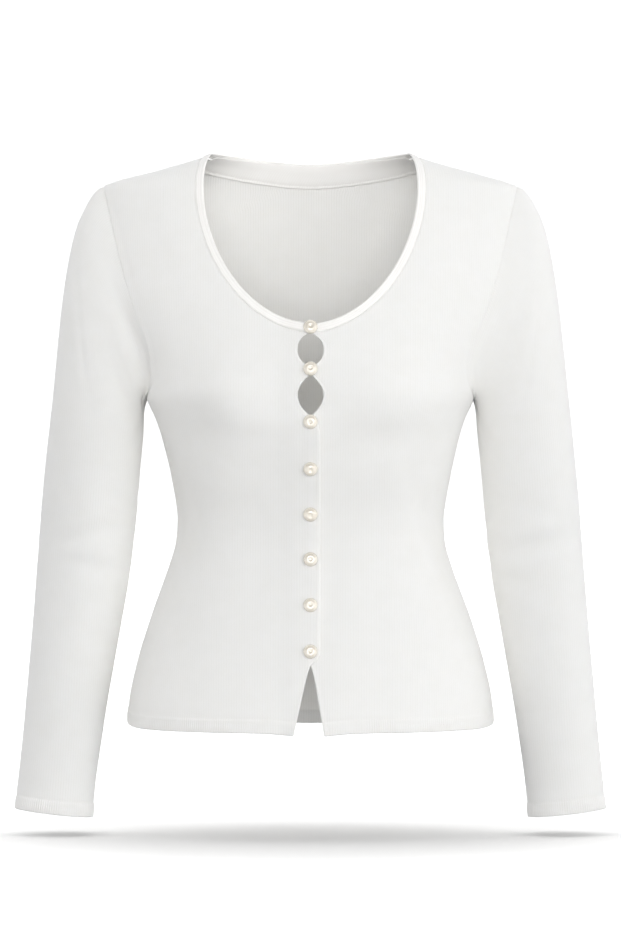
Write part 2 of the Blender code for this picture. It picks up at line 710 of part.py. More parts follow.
@functools.lru_cache
def armhole_seam():
    """The armhole seam all the way round, from the shoulder tip forwards.

    Gives its points, the mitre's outward directions and the directions away from the body.
    """
    turn = np.arange(SLEEVE_SIDES) / SLEEVE_SIDES
    in_front = turn <= 0.5
    way = np.where(in_front, 2 * turn, 2 - 2 * turn)
    front_across, height = armhole(way, "front")
    back_across, _ = armhole(way, "back")
    girth = np.where(
        in_front, girth_of(front_across, height, "front"), girth_of(back_across, height, "back")
    )
    seam = on_form(girth, height)
    turns, steps = np.meshgrid(turn, [0.0, 0.5])
    mitre = form_normal(girth, height) + surface_normal(sleeve_surface(turns, steps, seam))[0]
    mitre /= np.linalg.norm(mitre, axis=1, keepdims=True)
    along = np.roll(seam, -1, axis=0) - np.roll(seam, 1, axis=0)
    away = np.cross(mitre, along)
    away /= np.linalg.norm(away, axis=1, keepdims=True)
    return seam, mitre, away


def arm_folds(turn, height, folds):
    move = np.zeros_like(height)
    for fold in folds:
        away = (turn * 360.0 - fold.turn + 180.0) % 360.0 - 180.0
        over = (height - fold.height - fold.rise * away / fold.half_turn) / fold.half_width
        move -= fold.depth * trough(over) * np.exp(-((away / fold.half_turn) ** 2))
    return move


def sleeve_steps():
    """Where the mesh has its rings: evenly down the arm, and the first ones close together."""
    fine = np.linspace(0.0, len(SLEEVE_RINGS) - 1, 2000)
    top, bottom, _ = arm_ring(fine)
    middle = (top + bottom) / 2 + (top - bottom) / 2 * 0.5
    run = np.concatenate([[0.0], np.cumsum(np.linalg.norm(np.diff(middle, axis=0), axis=1))])
    share = np.linspace(0.0, 1.0, SLEEVE_STEPS + 1)
    share = share - SLEEVE_CROWDING * np.sin(math.pi * share) * (1 - share)
    return np.interp(share, run / run[-1], fine)


def sleeve(name, side, folds, finish, collection):
    turn, step = np.meshgrid(np.arange(SLEEVE_SIDES) / SLEEVE_SIDES, sleeve_steps())
    seam, mitre, away = armhole_seam()
    points = sleeve_surface(turn, step, seam + away * SEAM_GAP / 2)
    normal = surface_normal(points)
    normal[0] = mitre
    grown = smooth_step((step - SLEEVE_FOLDS_START) / SLEEVE_FOLDS_FADE)
    out = arm_folds(turn, points[..., 2], folds) * grown
    outer = (points + normal * out[..., None])[:, ::-1]
    inner = (points + normal * (out - WALL)[..., None])[:, ::-1]
    return cloth(name, outer, inner, finish, collection, side, closed=True)


# ---------------------------------------------------------------- neck


def half_neck(margin):
    """Girths and heights along half of the neck, from the centre front to the centre back."""
    across, height = front_neck(np.linspace(1.0, 0.0, ARMHOLE_ROWS)[:-1], margin)
    across = np.concatenate([[-BAND_LAP, -BAND_LAP / 2], across])
    height = np.concatenate([[height[0], height[0]], height])
    back_across, back_height = back_neck(np.linspace(0.0, 1.0, BACK_NECK_STEPS + 1), margin)
    girth = [girth_of(across, height, "front"), girth_of(back_across, back_height, "back")]
    return np.concatenate(girth), np.concatenate([height, back_height])


def neck_strip(side, lift):
    """Outer and inner points of half the neckband. The half that lies underneath is flat there."""
    flip = np.array([side, 1.0, 1.0])
    outer, inner = [], []
    for margin, crown in zip(BAND_MARGINS, BAND_CROWNS):
        girth, height = half_neck(margin)
        form, normal = on_form(girth, height), form_normal(girth, height)
        fade = (form[:, 0] - FRONT_LAP_FLAT) / (FRONT_LAP_FADE - FRONT_LAP_FLAT)
        in_front = (girth < 1.0) & (height < NECK_WIDEST)
        up = np.where(in_front, lift * (1 - smooth_step(fade)), 0.0)
        if lift == 0.0:
            crown = crown * smooth_step(np.maximum(fade + BAND_FLAT_SHARE, ~in_front))
        outer.append((form + normal * (crown + up)[:, None]) * flip)
        inner.append((form + normal * (up - WALL)[:, None]) * flip)
    return np.stack(outer, axis=1), np.stack(inner, axis=1)


def neckband(finish, collection):
    right = neck_strip(-1, FRONT_LAP_LIFT)
    left = neck_strip(1, 0.0)
    outer, inner = (
        np.concatenate([of_right[:-1], of_left[::-1]]) for of_right, of_left in zip(right, left)
    )
    return cloth("neckband", outer, inner, finish, collection)


def neck_facing(finish, collection):
    """A strip inside the back neck, from one shoulder seam to the other."""
    step = np.linspace(0.0, 1.0, BACK_NECK_STEPS + 1)[FACING_FIRST_STEP:]
    flip = np.array([-1.0, 1.0, 1.0])
    sides = {"outer": [], "inner": []}
    for margin in FACING_MARGINS:
        across, height = back_neck(step, margin)
        girth = girth_of(across, height, "back")
        form, normal = on_form(girth, height), form_normal(girth, height)
        sides["outer"].append(form - normal * (WALL + FACING_GAP))
        sides["inner"].append(form - normal * (WALL + FACING_GAP + FACING_WALL))
    outer, inner = (np.stack(sides[name], axis=1) for name in ("outer", "inner"))
    outer = np.concatenate([outer[:-1] * flip, outer[::-1]])
    inner = np.concatenate([inner[:-1] * flip, inner[::-1]])
    return cloth("neck_facing", outer, inner, finish, collection)


# ---------------------------------------------------------------- buttons


def button_mesh(finish):
    """A pearl half-ball with a shallow dimple, turned round its own axis. Its back is at 0."""
    r = BUTTON_RADIUS
    profile = [
        (0.0, 0.56),
        (0.20, 0.60),
        (0.34, 0.66),
        (0.60, 0.60),
        (0.84, 0.42),
        (0.98, 0.18),
        (0.94, 0.02),
        (0.80, 0.0),
        (0.0, 0.0),
    ]
    mesh = bpy.data.meshes.new("Button profile")
    points = [(x * r * MM, 0.0, z * r * MM) for x, z in profile]
    mesh.from_pydata(points, [(i, i + 1) for i in range(len(points) - 1)], [])
    made = bpy.data.objects.new("Button profile", mesh)
    bpy.context.scene.collection.objects.link(made)
    screw = made.modifiers.new("Turned", "SCREW")
    screw.steps = BUTTON_SIDES
    screw.render_steps = BUTTON_SIDES
    screw.use_merge_vertices = True
    screw.merge_threshold = 0.00001
    graph = bpy.context.evaluated_depsgraph_get()
    turned = bpy.data.meshes.new_from_object(made.evaluated_get(graph))
    turned.name = "Pearl button"
    turned.materials.clear()
    turned.materials.append(finish)
    turned.shade_smooth()
    bpy.data.objects.remove(made)
    return turned


def button(number, height, mesh, collection):
    """A button on the right front, its axis along the outward direction of the cloth there."""
    height = np.array(height)
    form, normal = on_form(np.array(0.0), height), form_normal(np.array(0.0), height)
    clear = FRONT_LAP_LIFT + BAND_CROWN + SEAM_GAP  # the top button lies on the band's crown
    place = form + normal * clear
    made = bpy.data.objects.new(f"button_{number}", mesh)
    made.location = [float(v) * MM for v in place]
    made.rotation_euler = (math.pi / 2 - math.atan2(float(normal[2]), -float(normal[1])), 0.0, 0.0)
    collection.objects.link(made)
    return made


def main():
    for old in list(bpy.data.objects):
        bpy.data.objects.remove(old)
    collection = garment_collection()
    knit = material("White knit", KNIT_COLOUR, 0.9)
    pearl = material("Ivory pearl", PEARL_COLOUR, 0.25)
    front("front_right", -1, SLIT_SLOPE_RIGHT, BODY_FOLDS_RIGHT, knit, collection)
    front("front_left", 1, SLIT_SLOPE_LEFT, BODY_FOLDS_LEFT, knit, collection)
    back(knit, collection)
    sleeve("sleeve_right", -1, ARM_FOLDS_RIGHT, knit, collection)
    sleeve("sleeve_left", 1, ARM_FOLDS_LEFT, knit, collection)
    neckband(knit, collection)
    neck_facing(knit, collection)
    pearl_mesh = button_mesh(pearl)
    for number, height in enumerate(BUTTON_HEIGHTS, start=1):
        button(number, height, pearl_mesh, collection)


main()
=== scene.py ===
# %% [markdown]
# # A button cardigan in fine white knit
#
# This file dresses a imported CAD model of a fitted, scoop-neck cardigan. The model gives the size and the
# place of every panel. Here each panel becomes a thin knitted shell with its creases, its rolled edges
# and its stitches.
#
# A knitter makes such a cardigan from five shaped pieces: two fronts, a back and two sleeves. The pieces
# are linked loop by loop, a narrow binding finishes the neck, and a strip of the same knit faces the
# inside of the back neck. Eight pearl buttons close it.
#
# All sizes below are in millimetres, unless a name says otherwise. +Z is up, the wearer faces -Y, and the
# wearer's left is at +X.

# %% Load the frame
import math
from collections import namedtuple

import bpy
import numpy as np
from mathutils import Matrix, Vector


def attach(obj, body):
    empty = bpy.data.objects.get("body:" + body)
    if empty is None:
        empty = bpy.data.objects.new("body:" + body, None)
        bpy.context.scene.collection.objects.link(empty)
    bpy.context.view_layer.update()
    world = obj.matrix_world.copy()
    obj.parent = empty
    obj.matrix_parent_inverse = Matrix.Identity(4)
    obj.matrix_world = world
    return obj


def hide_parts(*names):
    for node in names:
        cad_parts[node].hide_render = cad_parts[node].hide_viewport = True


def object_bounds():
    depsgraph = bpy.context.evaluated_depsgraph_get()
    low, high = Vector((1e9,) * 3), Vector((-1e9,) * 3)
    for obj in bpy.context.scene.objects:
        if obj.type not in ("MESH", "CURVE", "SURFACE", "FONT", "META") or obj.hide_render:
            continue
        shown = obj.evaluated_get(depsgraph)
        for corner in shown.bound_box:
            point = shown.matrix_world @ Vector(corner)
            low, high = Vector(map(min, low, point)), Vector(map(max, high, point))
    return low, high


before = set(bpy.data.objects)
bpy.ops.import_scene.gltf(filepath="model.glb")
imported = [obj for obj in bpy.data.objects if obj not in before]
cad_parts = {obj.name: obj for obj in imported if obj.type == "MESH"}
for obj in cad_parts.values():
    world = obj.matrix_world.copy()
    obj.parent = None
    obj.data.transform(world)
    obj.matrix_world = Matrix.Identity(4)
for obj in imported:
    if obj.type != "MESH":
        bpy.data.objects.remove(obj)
cad_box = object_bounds()
BODY = "root"  # the part has no joints, so it has one body
MM = 0.001
print("CAD box in metres:", cad_box)

# %% [markdown]
# ## Colours and nodes
#
# Designers write colours as sRGB hex values, and Blender's shaders want linear ones. One function turns
# the first into the second. The others add a node with its settings and links, so that a material reads
# as a short list of steps.


# %% Node helpers
def linear(hex_colour):
    """An sRGB hex colour as the linear RGBA that a shader wants."""
    parts = [int(hex_colour[i : i + 2], 16) / 255 for i in (1, 3, 5)]
    return tuple(c / 12.92 if c <= 0.04045 else ((c + 0.055) / 1.055) ** 2.4 for c in parts) + (1.0,)


def fill_inputs(tree, node, links):
    """Links each of a node's named inputs to a socket, or sets it to a plain value."""
    for name, value in dict(links).items():
        if isinstance(value, bpy.types.NodeSocket):
            tree.links.new(value, node.inputs[name])
        else:
            node.inputs[name].default_value = value


def add(tree, kind, links=(), **settings):
    """Adds a node. Settings are its own properties, links say what goes into each input."""
    node = tree.nodes.new(kind)
    for name, value in settings.items():
        setattr(node, name, value)
    fill_inputs(tree, node, links)
    return node.outputs


def maths(tree, operation, *values):
    return add(tree, "ShaderNodeMath", enumerate(values), operation=operation)[0]


def mix(tree, share, first, second):
    """A colour between two hex colours."""
    links = {0: share, 6: linear(first), 7: linear(second)}
    return add(tree, "ShaderNodeMix", links, data_type="RGBA")[2]


def ramp(tree, value, start, end, low=0.0, high=1.0, kind="LINEAR"):
    """Low up to the start, high from the end on, and a ramp between them."""
    links = {"Value": value, 1: start, 2: end, 3: low, 4: high}
    return add(tree, "ShaderNodeMapRange", links, interpolation_type=kind)[0]


def own_place(tree):
    """The place of a point in its object, in metres."""
    return add(tree, "ShaderNodeTexCoord")["Object"]


def noise(tree, scale, **more):
    """Procedural noise in the object's own place."""
    return add(tree, "ShaderNodeTexNoise", {"Vector": own_place(tree), "Scale": scale} | more)[0]


def new_material(name, links):
    """A material with one Principled shader. Links say what goes into the shader's inputs."""
    made = bpy.data.materials.new(name)
    made.use_nodes = True
    tree = made.node_tree
    fill_inputs(tree, tree.nodes["Principled BSDF"], links(tree))
    return made


# %% [markdown]
# ## The knit
#
# The cloth is a fine single jersey of combed cotton, washed so that it has a soft nap. On its face each
# stitch is a small V. The Vs stand in upright columns, called wales, with a furrow between two of them.
# Light catches the wales, so from a few steps away jersey shows faint upright lines.
#
# The stitches are far too many to model, so they are a bump, and the colour is painted darker in the
# furrows as painted shade. The pattern reads the piece's own UV map, which holds metres along the cloth,
# and so it follows the body and the arm as the real wales do.
#
# White yarn also lets light in. It wanders a few millimetres between the fibres and comes out again,
# which is why a fold in white knit never looks hard. Subsurface scattering does that here. The layers
# that show from inside, in the shade, are drawn without it: there it would only make them darker.
# Instead they get a paler copy of the knit, painted lighter as painted light that lifts their shade.

# %% Knit materials
WALE_MM = 2.4  # real fine wales are about 1.2 mm apart: these are drawn coarser, or they wouldn't show
COURSE_MM = 1.8
KNIT_UV = "Along the knit"
NAP_SCALE = 700.0  # loose fibres, about a millimetre across where they clump
YARN_SCALE = 60.0  # some stretches of yarn take the light a little better than others
LEG_SLANT, LEG_HEIGHT = 0.55, 0.7  # of the two legs of a V
FURROW_RELIEF, FURROW_SHADE_POWER = 2.2, 2.6  # the higher, the narrower is the furrow's dip and its painted shade
NAP_HEIGHT = 0.8  # of a stitch's own height


def knit_pattern(tree, wale_mm):
    """How deep in its furrow a place is (0 to 1), and the height of its stitch."""
    uv = add(tree, "ShaderNodeUVMap", uv_map=KNIT_UV)[0]
    along = add(tree, "ShaderNodeSeparateXYZ", {"Vector": uv})
    wale = maths(tree, "MULTIPLY", along[0], 1 / (wale_mm * MM))
    course = maths(tree, "MULTIPLY", along[1], 1 / (COURSE_MM * MM))
    furrow = maths(tree, "MULTIPLY", maths(tree, "PINGPONG", wale, 0.5), 2.0)
    leg = maths(tree, "PINGPONG", maths(tree, "MULTIPLY_ADD", furrow, LEG_SLANT, course), 0.5)
    crown = maths(tree, "MULTIPLY_ADD", leg, LEG_HEIGHT, 1.0)
    return furrow, maths(tree, "SUBTRACT", crown, maths(tree, "POWER", furrow, FURROW_RELIEF))


def knit(name, crest, furrow_shade_colour, relief_mm, wale_mm=WALE_MM, let_in=0.0):
    """Combed cotton jersey: a matt, slightly fuzzy surface, painted lighter on its wales than between
    them, as painted shade in the furrows.
    """

    def links(tree):
        furrow, height = knit_pattern(tree, wale_mm)
        nap = noise(tree, NAP_SCALE, Detail=3.0)
        patch = ramp(tree, noise(tree, YARN_SCALE, Detail=5.0), 0.3, 0.7, -0.15, 0.35)
        # The furrow's darker tint is painted shade; the patches are the yarn's own random tone
        furrow_shade_and_yarn_tone = maths(tree, "ADD", maths(tree, "POWER", furrow, FURROW_SHADE_POWER), patch)
        fuzz = maths(tree, "MULTIPLY_ADD", nap, NAP_HEIGHT, height)
        bump = {"Height": fuzz, "Distance": relief_mm * MM, "Strength": 0.8}
        return {
            "Base Color": mix(tree, furrow_shade_and_yarn_tone, crest, furrow_shade_colour),
            "Roughness": ramp(tree, nap, 0.0, 1.0, 0.84, 0.97),
            "Normal": add(tree, "ShaderNodeBump", bump)[0],
            "Specular IOR Level": 0.25,
            "Sheen Weight": 0.22,
            "Sheen Roughness": 0.45,
            "Sheen Tint": linear("#F3F6FF"),
            "Subsurface Weight": let_in,
            "Subsurface Radius": (1.0, 0.97, 0.93),
            "Subsurface Scale": 4.0 * MM,
        }

    return new_material(name, links)


jersey = knit("Combed cotton jersey", "#F8F7F4", "#F4F3EF", 0.09, let_in=0.6)
# A copy of the knit painted paler than the jersey: painted light that lifts the shade on the facing inside
# the back neck. The welt ribs share it.
paler_painted_jersey = knit("Combed cotton jersey, inner", "#FCFBF9", "#F8F6F3", 0.03)
binding = knit("Cotton jersey binding", "#F8F7F5", "#F2F0ED", 0.06, wale_mm=2.0)

# %% [markdown]
# ## Pearl and thread
#
# The buttons are imitation pearl: acrylic balls with many coats of pearl lacquer. The lacquer holds tiny
# flakes in a cream tint, with a clear gloss on top. The eye gets a pale silvery body, soft cloudy bands
# two or three millimetres across, and a small sharp highlight. The sewing thread is mercerised cotton:
# smoother than the knit, and a little shinier.

# %% Pearl and thread materials
CLOUD_SCALE = 320.0
FLAKE_SCALE = 5200.0
PLY_SCALE = 2400.0
PLY_RELIEF_MM = 0.1


def pearl_links(tree):
    cloud = noise(tree, CLOUD_SCALE, Distortion=1.2)
    return {
        "Base Color": mix(tree, cloud, "#EFEAE0", "#DCD3C3"),
        "Roughness": ramp(tree, noise(tree, FLAKE_SCALE), 0.0, 1.0, 0.2, 0.34),
        "Metallic": 0.15,
        "Specular IOR Level": 0.6,
        "Coat Weight": 0.9,
        "Coat Roughness": 0.06,
    }


def thread_links(tree):
    ply = noise(tree, PLY_SCALE, Detail=1.0)
    return {
        "Base Color": mix(tree, ply, "#F6F5F3", "#E9E7E3"),
        "Roughness": 0.6,
        "Normal": add(tree, "ShaderNodeBump", {"Height": ply, "Distance": PLY_RELIEF_MM * MM})[0],
        "Sheen Weight": 0.15,
    }


pearl = new_material("Pearl lacquer on acrylic", pearl_links)
thread = new_material("Mercerised cotton thread", thread_links)
print("Materials:", [m.name for m in bpy.data.materials])

# %% [markdown]
# ## The worn form
#
# A pattern cutter thinks of a garment as a set of girths at named heights: shoulder, bust, waist and hip.
# The form below is the same thing. Each row is a horizontal section with a half width, the depths to the
# front and the back, and how square its corners are. A smooth curve joins the rows. Every panel of the
# CAD model lies on this form, so the same short tables place the finer shells on it exactly.


# %% Form tables
def table(name, columns, *rows):
    """A table: one named row for each tuple of numbers."""
    row = namedtuple(name, columns)
    return [row(*map(float, numbers)) for numbers in rows]


UNDERARM = -227.0
SHOULDER_TIP = -30.5
FORM = table(
    "Section", "height half_width front back squareness",
    (6, 80, 36, 56, 2.2), (0, 92, 40, 57, 2.2), (-10, 123.4, 45, 60, 2.2), (-20, 160, 50, 64, 2.2),
    (-26, 181.5, 53.5, 67, 2.2), (SHOULDER_TIP, 191.6, 56, 69.5, 2.2), (-50, 194, 66, 79, 2.2),
    (-80, 194.3, 78, 90, 2.2), (-115, 192, 91.5, 99, 2.22), (-150, 181, 103, 103, 2.3),
    (-180, 165.5, 110.5, 103.5, 2.42), (-206, 155, 115, 101.5, 2.5), (UNDERARM, 151.6, 117, 99, 2.55),
    (-247, 143.3, 117, 96, 2.55), (-270, 136.4, 114, 91.5, 2.5), (-303, 129, 105, 85, 2.4),
    (-340, 123.7, 96.5, 79.5, 2.35), (-360, 124.9, 95, 80, 2.35), (-380, 130.4, 96, 84, 2.35),
    (-396, 136, 98, 87, 2.35), (-433, 149.3, 103.5, 96.5, 2.35), (-471, 161, 108.5, 104.5, 2.35),
    (-508, 168.8, 112, 110, 2.35), (-545, 171.4, 114.5, 113, 2.35),
)
BUST_FULLNESS = 8.0
BUST_ACROSS, BUST_HEIGHT = 82.0, -240.0
BUST_WIDTH, BUST_LENGTH = 44.0, 56.0

# %% [markdown]
# The seams and edges are short tables as well: the armhole, the hem, and the two outlines of a sleeve
# with the rings that join them.

# %% Seam and edge tables
ARMHOLE = table(
    "Armhole", "height front back",
    (SHOULDER_TIP, 191.6, 191.6), (-50, 187, 189), (-68, 182.8, 186), (-110, 172.8, 179),
    (-152, 160.3, 168.5), (-179, 149.5, 157), (-206, 146, 149.5), (UNDERARM, 151.6, 151.6),
)
HEM = table(
    "Hem", "girth height",
    (-0.1, -536.8), (0, -536.3), (0.07, -534.6), (0.2, -532.4), (0.45, -532), (0.75, -531.2),
    (0.9, -528.6), (1, -526), (1.12, -528), (1.45, -533.5), (2, -536),
)
HEM_FADE = 90.0
SLEEVE_OUTER = table(
    "Line", "height across",
    (SHOULDER_TIP, 191.6), (-33, 197.4), (-37, 201.8), (-43, 206.2), (-52, 211), (-61.5, 215.6),
    (-80, 221.2), (-100, 225.2), (-136, 230.6), (-173, 234.6), (-210, 238.4), (-247, 242.4),
    (-303, 248.2), (-340, 251.5), (-396, 255.6), (-452, 259.6), (-508, 264), (-545, 267.2),
    (-582, 271), (-606.5, 273.4),
)
SLEEVE_INNER = table(
    "Line", "height across",
    (UNDERARM, 151.6), (-247.4, 153.6), (-266, 155.4), (-303, 158.9), (-340, 161.9), (-359, 163.9),
    (-396, 168.6), (-433, 175), (-471, 181.6), (-508, 187.9), (-545, 193.4), (-582, 198.4),
    (-614.5, 201.2),
)
SLEEVE_RINGS = table(
    "Ring", "outer inner half_depth forward",
    (SHOULDER_TIP, UNDERARM, 54, 0), (-34, -228, 53, 0), (-40, -229.5, 52, 0), (-51, -231.5, 50.5, 0),
    (-68, -234, 49, 0), (-92, -237.5, 47.8, 0), (-122, -242, 47, 0), (-156, -248.5, 46.5, 0),
    (-192, -258, 46.2, 0), (-228, -273, 46, -1), (-262, -292, 45.6, -2), (-294, -313, 45, -3),
    (-324, -337, 44.4, -4), (-352, -362.5, 43.8, -4.5), (-380, -390, 42.8, -4), (-420, -430, 40.8, -1),
    (-470, -480, 37.5, 5), (-520, -529.5, 34.2, 11), (-565, -574, 31.8, 16), (-606.5, -614.5, 30, 20),
)
SLEEVE_HEAD = 7.0  # by this ring the sleeve has left the armhole's own shape

# %% [markdown]
# The neck is a deep scoop. Both its binding and the back neck facing follow it, at some margin outside
# the finished edge. The two fronts lap by the width of the button stand, and between the top three
# buttons their edges curve apart into eye-shaped openings.

# %% Neck and front edge sizes
NECK_HALF, NECK_TOP_HALF = 98.0, 91.6
NECK_WIDEST, NECK_BOTTOM = -35.0, -161.0
NECK_ROUNDNESS = 1.85
BACK_NECK_DIP, BACK_NECK_RISE = 6.0, 1.8
BACK_NECK_ROUNDNESS, BACK_NECK_SQUARING = 1.3, 0.0325
BAND_WIDTH, BAND_LAP = 8.0, 5.0
LAP = 8.6
FRONT_LAP_LIFT = 2.6
FRONT_LAP_FLAT, FRONT_LAP_FADE = 11.0, 30.0
HOLE_HALF_WIDTH = 11.85
EYE_HOLES = table("Hole", "height half_height roundness", (-184.9, 16.7, 2.6), (-226, 19.4, 2))
SLIT_TOP = -471.0
SLIT_ROUND, SLIT_ROUND_LENGTH = 1.6, 6.0
SLIT_SLOPES = {-1: 0.21, 1: 0.165}  # the wearer's right front swings away more than the left one
BELT_TOP = -250.0
BUTTON_HEIGHTS = np.array([-165.4, -203.0] + [BELT_TOP - 41.7 * i for i in range(6)])

# %% [markdown]
# The next functions read the form. A place on it is a height and a girth: 0 at the centre front, 1 at
# the side seam, 2 at the centre back. Both sides are drawn as the wearer's left and mirrored.


# %% Smooth curves
def smooth_step(x):
    x = np.clip(x, 0.0, 1.0)
    return x * x * (3.0 - 2.0 * x)


def smooth_max(a, b, soft=0.8):
    return 0.5 * (a + b + np.sqrt((a - b) ** 2 + soft * soft))


def bell(x, middle, width):
    """1 in the middle, and fading away on both sides of it."""
    return np.exp(-(((x - middle) / width) ** 2))


def unit(vectors):
    return vectors / np.linalg.norm(vectors, axis=-1, keepdims=True)


def smooth_curve(xs, ys, x):
    """A smooth curve through the points (xs, ys) that makes no waves of its own."""
    xs, ys = np.asarray(xs, float), np.asarray(ys, float)
    if xs[0] > xs[-1]:
        xs, ys = xs[::-1], ys[::-1]
    step = np.diff(xs)
    slope = np.diff(ys) / step
    tangent = np.zeros_like(ys)
    tangent[0], tangent[-1] = slope[0], slope[-1]
    rising = slope[:-1] * slope[1:] > 0
    w1, w2 = 2 * step[1:] + step[:-1], step[1:] + 2 * step[:-1]
    safe = np.where(rising, slope[:-1] * slope[1:], 1.0)
    mean = (w1 + w2) * safe / np.where(rising, w1 * slope[1:] + w2 * slope[:-1], 1.0)
    tangent[1:-1] = np.where(rising, mean, 0.0)
    i = np.clip(np.searchsorted(xs, x) - 1, 0, len(step) - 1)
    u = np.clip((x - xs[i]) / step[i], 0.0, 1.0)
    return (
        ys[i] * (1 + 2 * u) * (1 - u) ** 2
        + tangent[i] * step[i] * u * (1 - u) ** 2
        + ys[i + 1] * u * u * (3 - 2 * u)
        - tangent[i + 1] * step[i] * u * u * (1 - u)
    )


def read_table(rows, x_name, y_name, x):
    xs, ys = ([getattr(row, name) for row in rows] for name in (x_name, y_name))
    return smooth_curve(xs, ys, x)


# %% Places on the form
HEIGHT_STEP = 0.5
HEIGHTS = np.arange(-560.0, 6.5, HEIGHT_STEP)
GIRTHS = np.linspace(0.0, 1.0, 401)
ANGLES = np.linspace(0.0, math.pi / 2, 512)
SIZES = {name: read_table(FORM, "height", name, HEIGHTS) for name in FORM[0]._fields[1:]}
GIRTH_NUDGE, HEIGHT_NUDGE = 0.004, 1.5  # how far to each side the form's direction is felt
LAST_STEP = 1.001  # keeps a place inside the last step of a table
HALVINGS = 24  # how often a search halves its range, which is far finer than the cloth


def quarter(half_width, depth, squareness, angle):
    """A point of a rounded quarter section: angle 0 is at the centre, pi / 2 at the side."""
    power = 2.0 / squareness
    return half_width * np.sin(angle) ** power, depth * np.cos(angle) ** power


def measure_quarters(depth_name):
    """For each height, the angle at each equal step of the way round, and the way's whole length."""
    angles, lengths = [], []
    for width, depth, square in zip(SIZES["half_width"], SIZES[depth_name], SIZES["squareness"]):
        x, y = quarter(width, depth, square, ANGLES)
        run = np.concatenate([[0.0], np.cumsum(np.hypot(np.diff(x), np.diff(y)))])
        angles.append(np.interp(GIRTHS, run / run[-1], ANGLES))
        lengths.append(run[-1])
    return np.array(angles), np.array(lengths)


QUARTERS = {part: measure_quarters(part) for part in ("front", "back")}


def angle_at(part, height, girth):
    """The section's angle at a girth, read between the entries of the table."""
    angles = QUARTERS[part][0]
    h = np.clip((height - HEIGHTS[0]) / HEIGHT_STEP, 0, len(HEIGHTS) - LAST_STEP)
    g = np.clip(girth, 0.0, 1.0) * (len(GIRTHS) - LAST_STEP)
    i, j = h.astype(int), g.astype(int)
    u, v = h - i, g - j
    low = angles[i, j] * (1 - u) * (1 - v) + angles[i + 1, j] * u * (1 - v)
    return low + angles[i, j + 1] * (1 - u) * v + angles[i + 1, j + 1] * u * v


def size_at(name, height):
    return np.interp(height, HEIGHTS, SIZES[name])


def on_form(girth, height):
    """Points of the form. A negative girth is past the centre front, one over 2 past the back."""
    girth, height = np.broadcast_arrays(np.asarray(girth, float), np.asarray(height, float))
    past_back = girth > 2.0
    way = np.where(past_back, 4.0 - girth, np.abs(girth))
    front = way <= 1.0
    share = np.where(front, way, 2.0 - way)
    angle = np.where(front, *(angle_at(part, height, share) for part in QUARTERS))
    depth = np.where(front, *(size_at(part, height) for part in QUARTERS))
    x, y = quarter(size_at("half_width", height), depth, size_at("squareness", height), angle)
    bust = bell(x, BUST_ACROSS, BUST_WIDTH) * bell(height, BUST_HEIGHT, BUST_LENGTH)
    y = np.where(front, -y - BUST_FULLNESS * bust * (1.0 - share**4), y)
    x = np.where((girth < 0.0) | past_back, -x, x)
    return np.stack([x, y, height], axis=-1)


def girth_of(across, height, part):
    """The girth of the point of the front or back that lies this far across at this height."""
    across, height = np.broadcast_arrays(np.asarray(across, float), np.asarray(height, float))
    width, square = size_at("half_width", height), size_at("squareness", height)
    angle = np.arcsin(np.clip(np.abs(across) / width, 0.0, 1.0) ** (square / 2.0))
    low, high = np.zeros_like(angle), np.ones_like(angle)
    for _ in range(HALVINGS):
        middle = (low + high) / 2
        below = angle_at(part, height, middle) < angle
        low, high = np.where(below, middle, low), np.where(below, high, middle)
    share = np.sign(across) * (low + high) / 2
    return share if part == "front" else 2.0 - share


def form_normal(girth, height):
    """The outward direction of the form."""
    turn = on_form(girth + GIRTH_NUDGE, height) - on_form(girth - GIRTH_NUDGE, height)
    rise = on_form(girth, height + HEIGHT_NUDGE) - on_form(girth, height - HEIGHT_NUDGE)
    return unit(np.cross(turn, rise))


def around(girth, height):
    """Millimetres round the body from its centre line, which keeps the wales upright."""
    front = girth <= 1.0
    lengths = (np.interp(height, HEIGHTS, length) for _, length in QUARTERS.values())
    return np.where(front, girth, 2.0 - girth) * np.where(front, *lengths)


# %% Outlines on the form
def shoulder_height(across):
    """The height of the shoulder seam this far across."""
    top = HEIGHTS > SHOULDER_TIP
    return np.interp(across, SIZES["half_width"][top][::-1], HEIGHTS[top][::-1])


def cosine_steps(start, end, step):
    """From start to end as step goes from 0 to 1, with closer steps near both."""
    return start + (end - start) * (1 - np.cos(math.pi * step)) / 2


def front_neck(step, margin):
    """The front neckline, margin outside the finished edge. Step 0 is at the shoulder, 1 in front."""
    top = shoulder_height(NECK_TOP_HALF + margin)
    bottom = NECK_BOTTOM - margin
    height = cosine_steps(top, bottom, step)
    down = np.clip((NECK_WIDEST - height) / (NECK_WIDEST - bottom), 0.0, 1.0)
    up = np.clip((height - NECK_WIDEST) / (top - NECK_WIDEST), 0.0, 1.0)
    across = (NECK_HALF + margin) * (1 - down**NECK_ROUNDNESS) ** (1 / NECK_ROUNDNESS)
    return across - (NECK_HALF - NECK_TOP_HALF) * up**3, height


def back_neck(step, margin):
    """The back neckline. Step 0 is at the shoulder seam, 1 at the centre back."""
    half = NECK_TOP_HALF + margin
    top = shoulder_height(half)
    across = half * np.cos(math.pi / 2 * step)
    middle = shoulder_height(NECK_TOP_HALF) - BACK_NECK_DIP - margin
    roundness = BACK_NECK_ROUNDNESS - BACK_NECK_SQUARING * margin
    dip = np.clip(np.cos(math.pi / 2 * across / half), 0.0, 1.0) ** roundness
    return across, top + (middle - top) * dip + BACK_NECK_RISE * np.sin(math.pi * step)


def armhole(turn, part):
    """The armhole seam. Turn 0 is at the shoulder tip, 1 at the underarm."""
    height = cosine_steps(SHOULDER_TIP, UNDERARM, turn)
    return read_table(ARMHOLE, "height", part, height), height


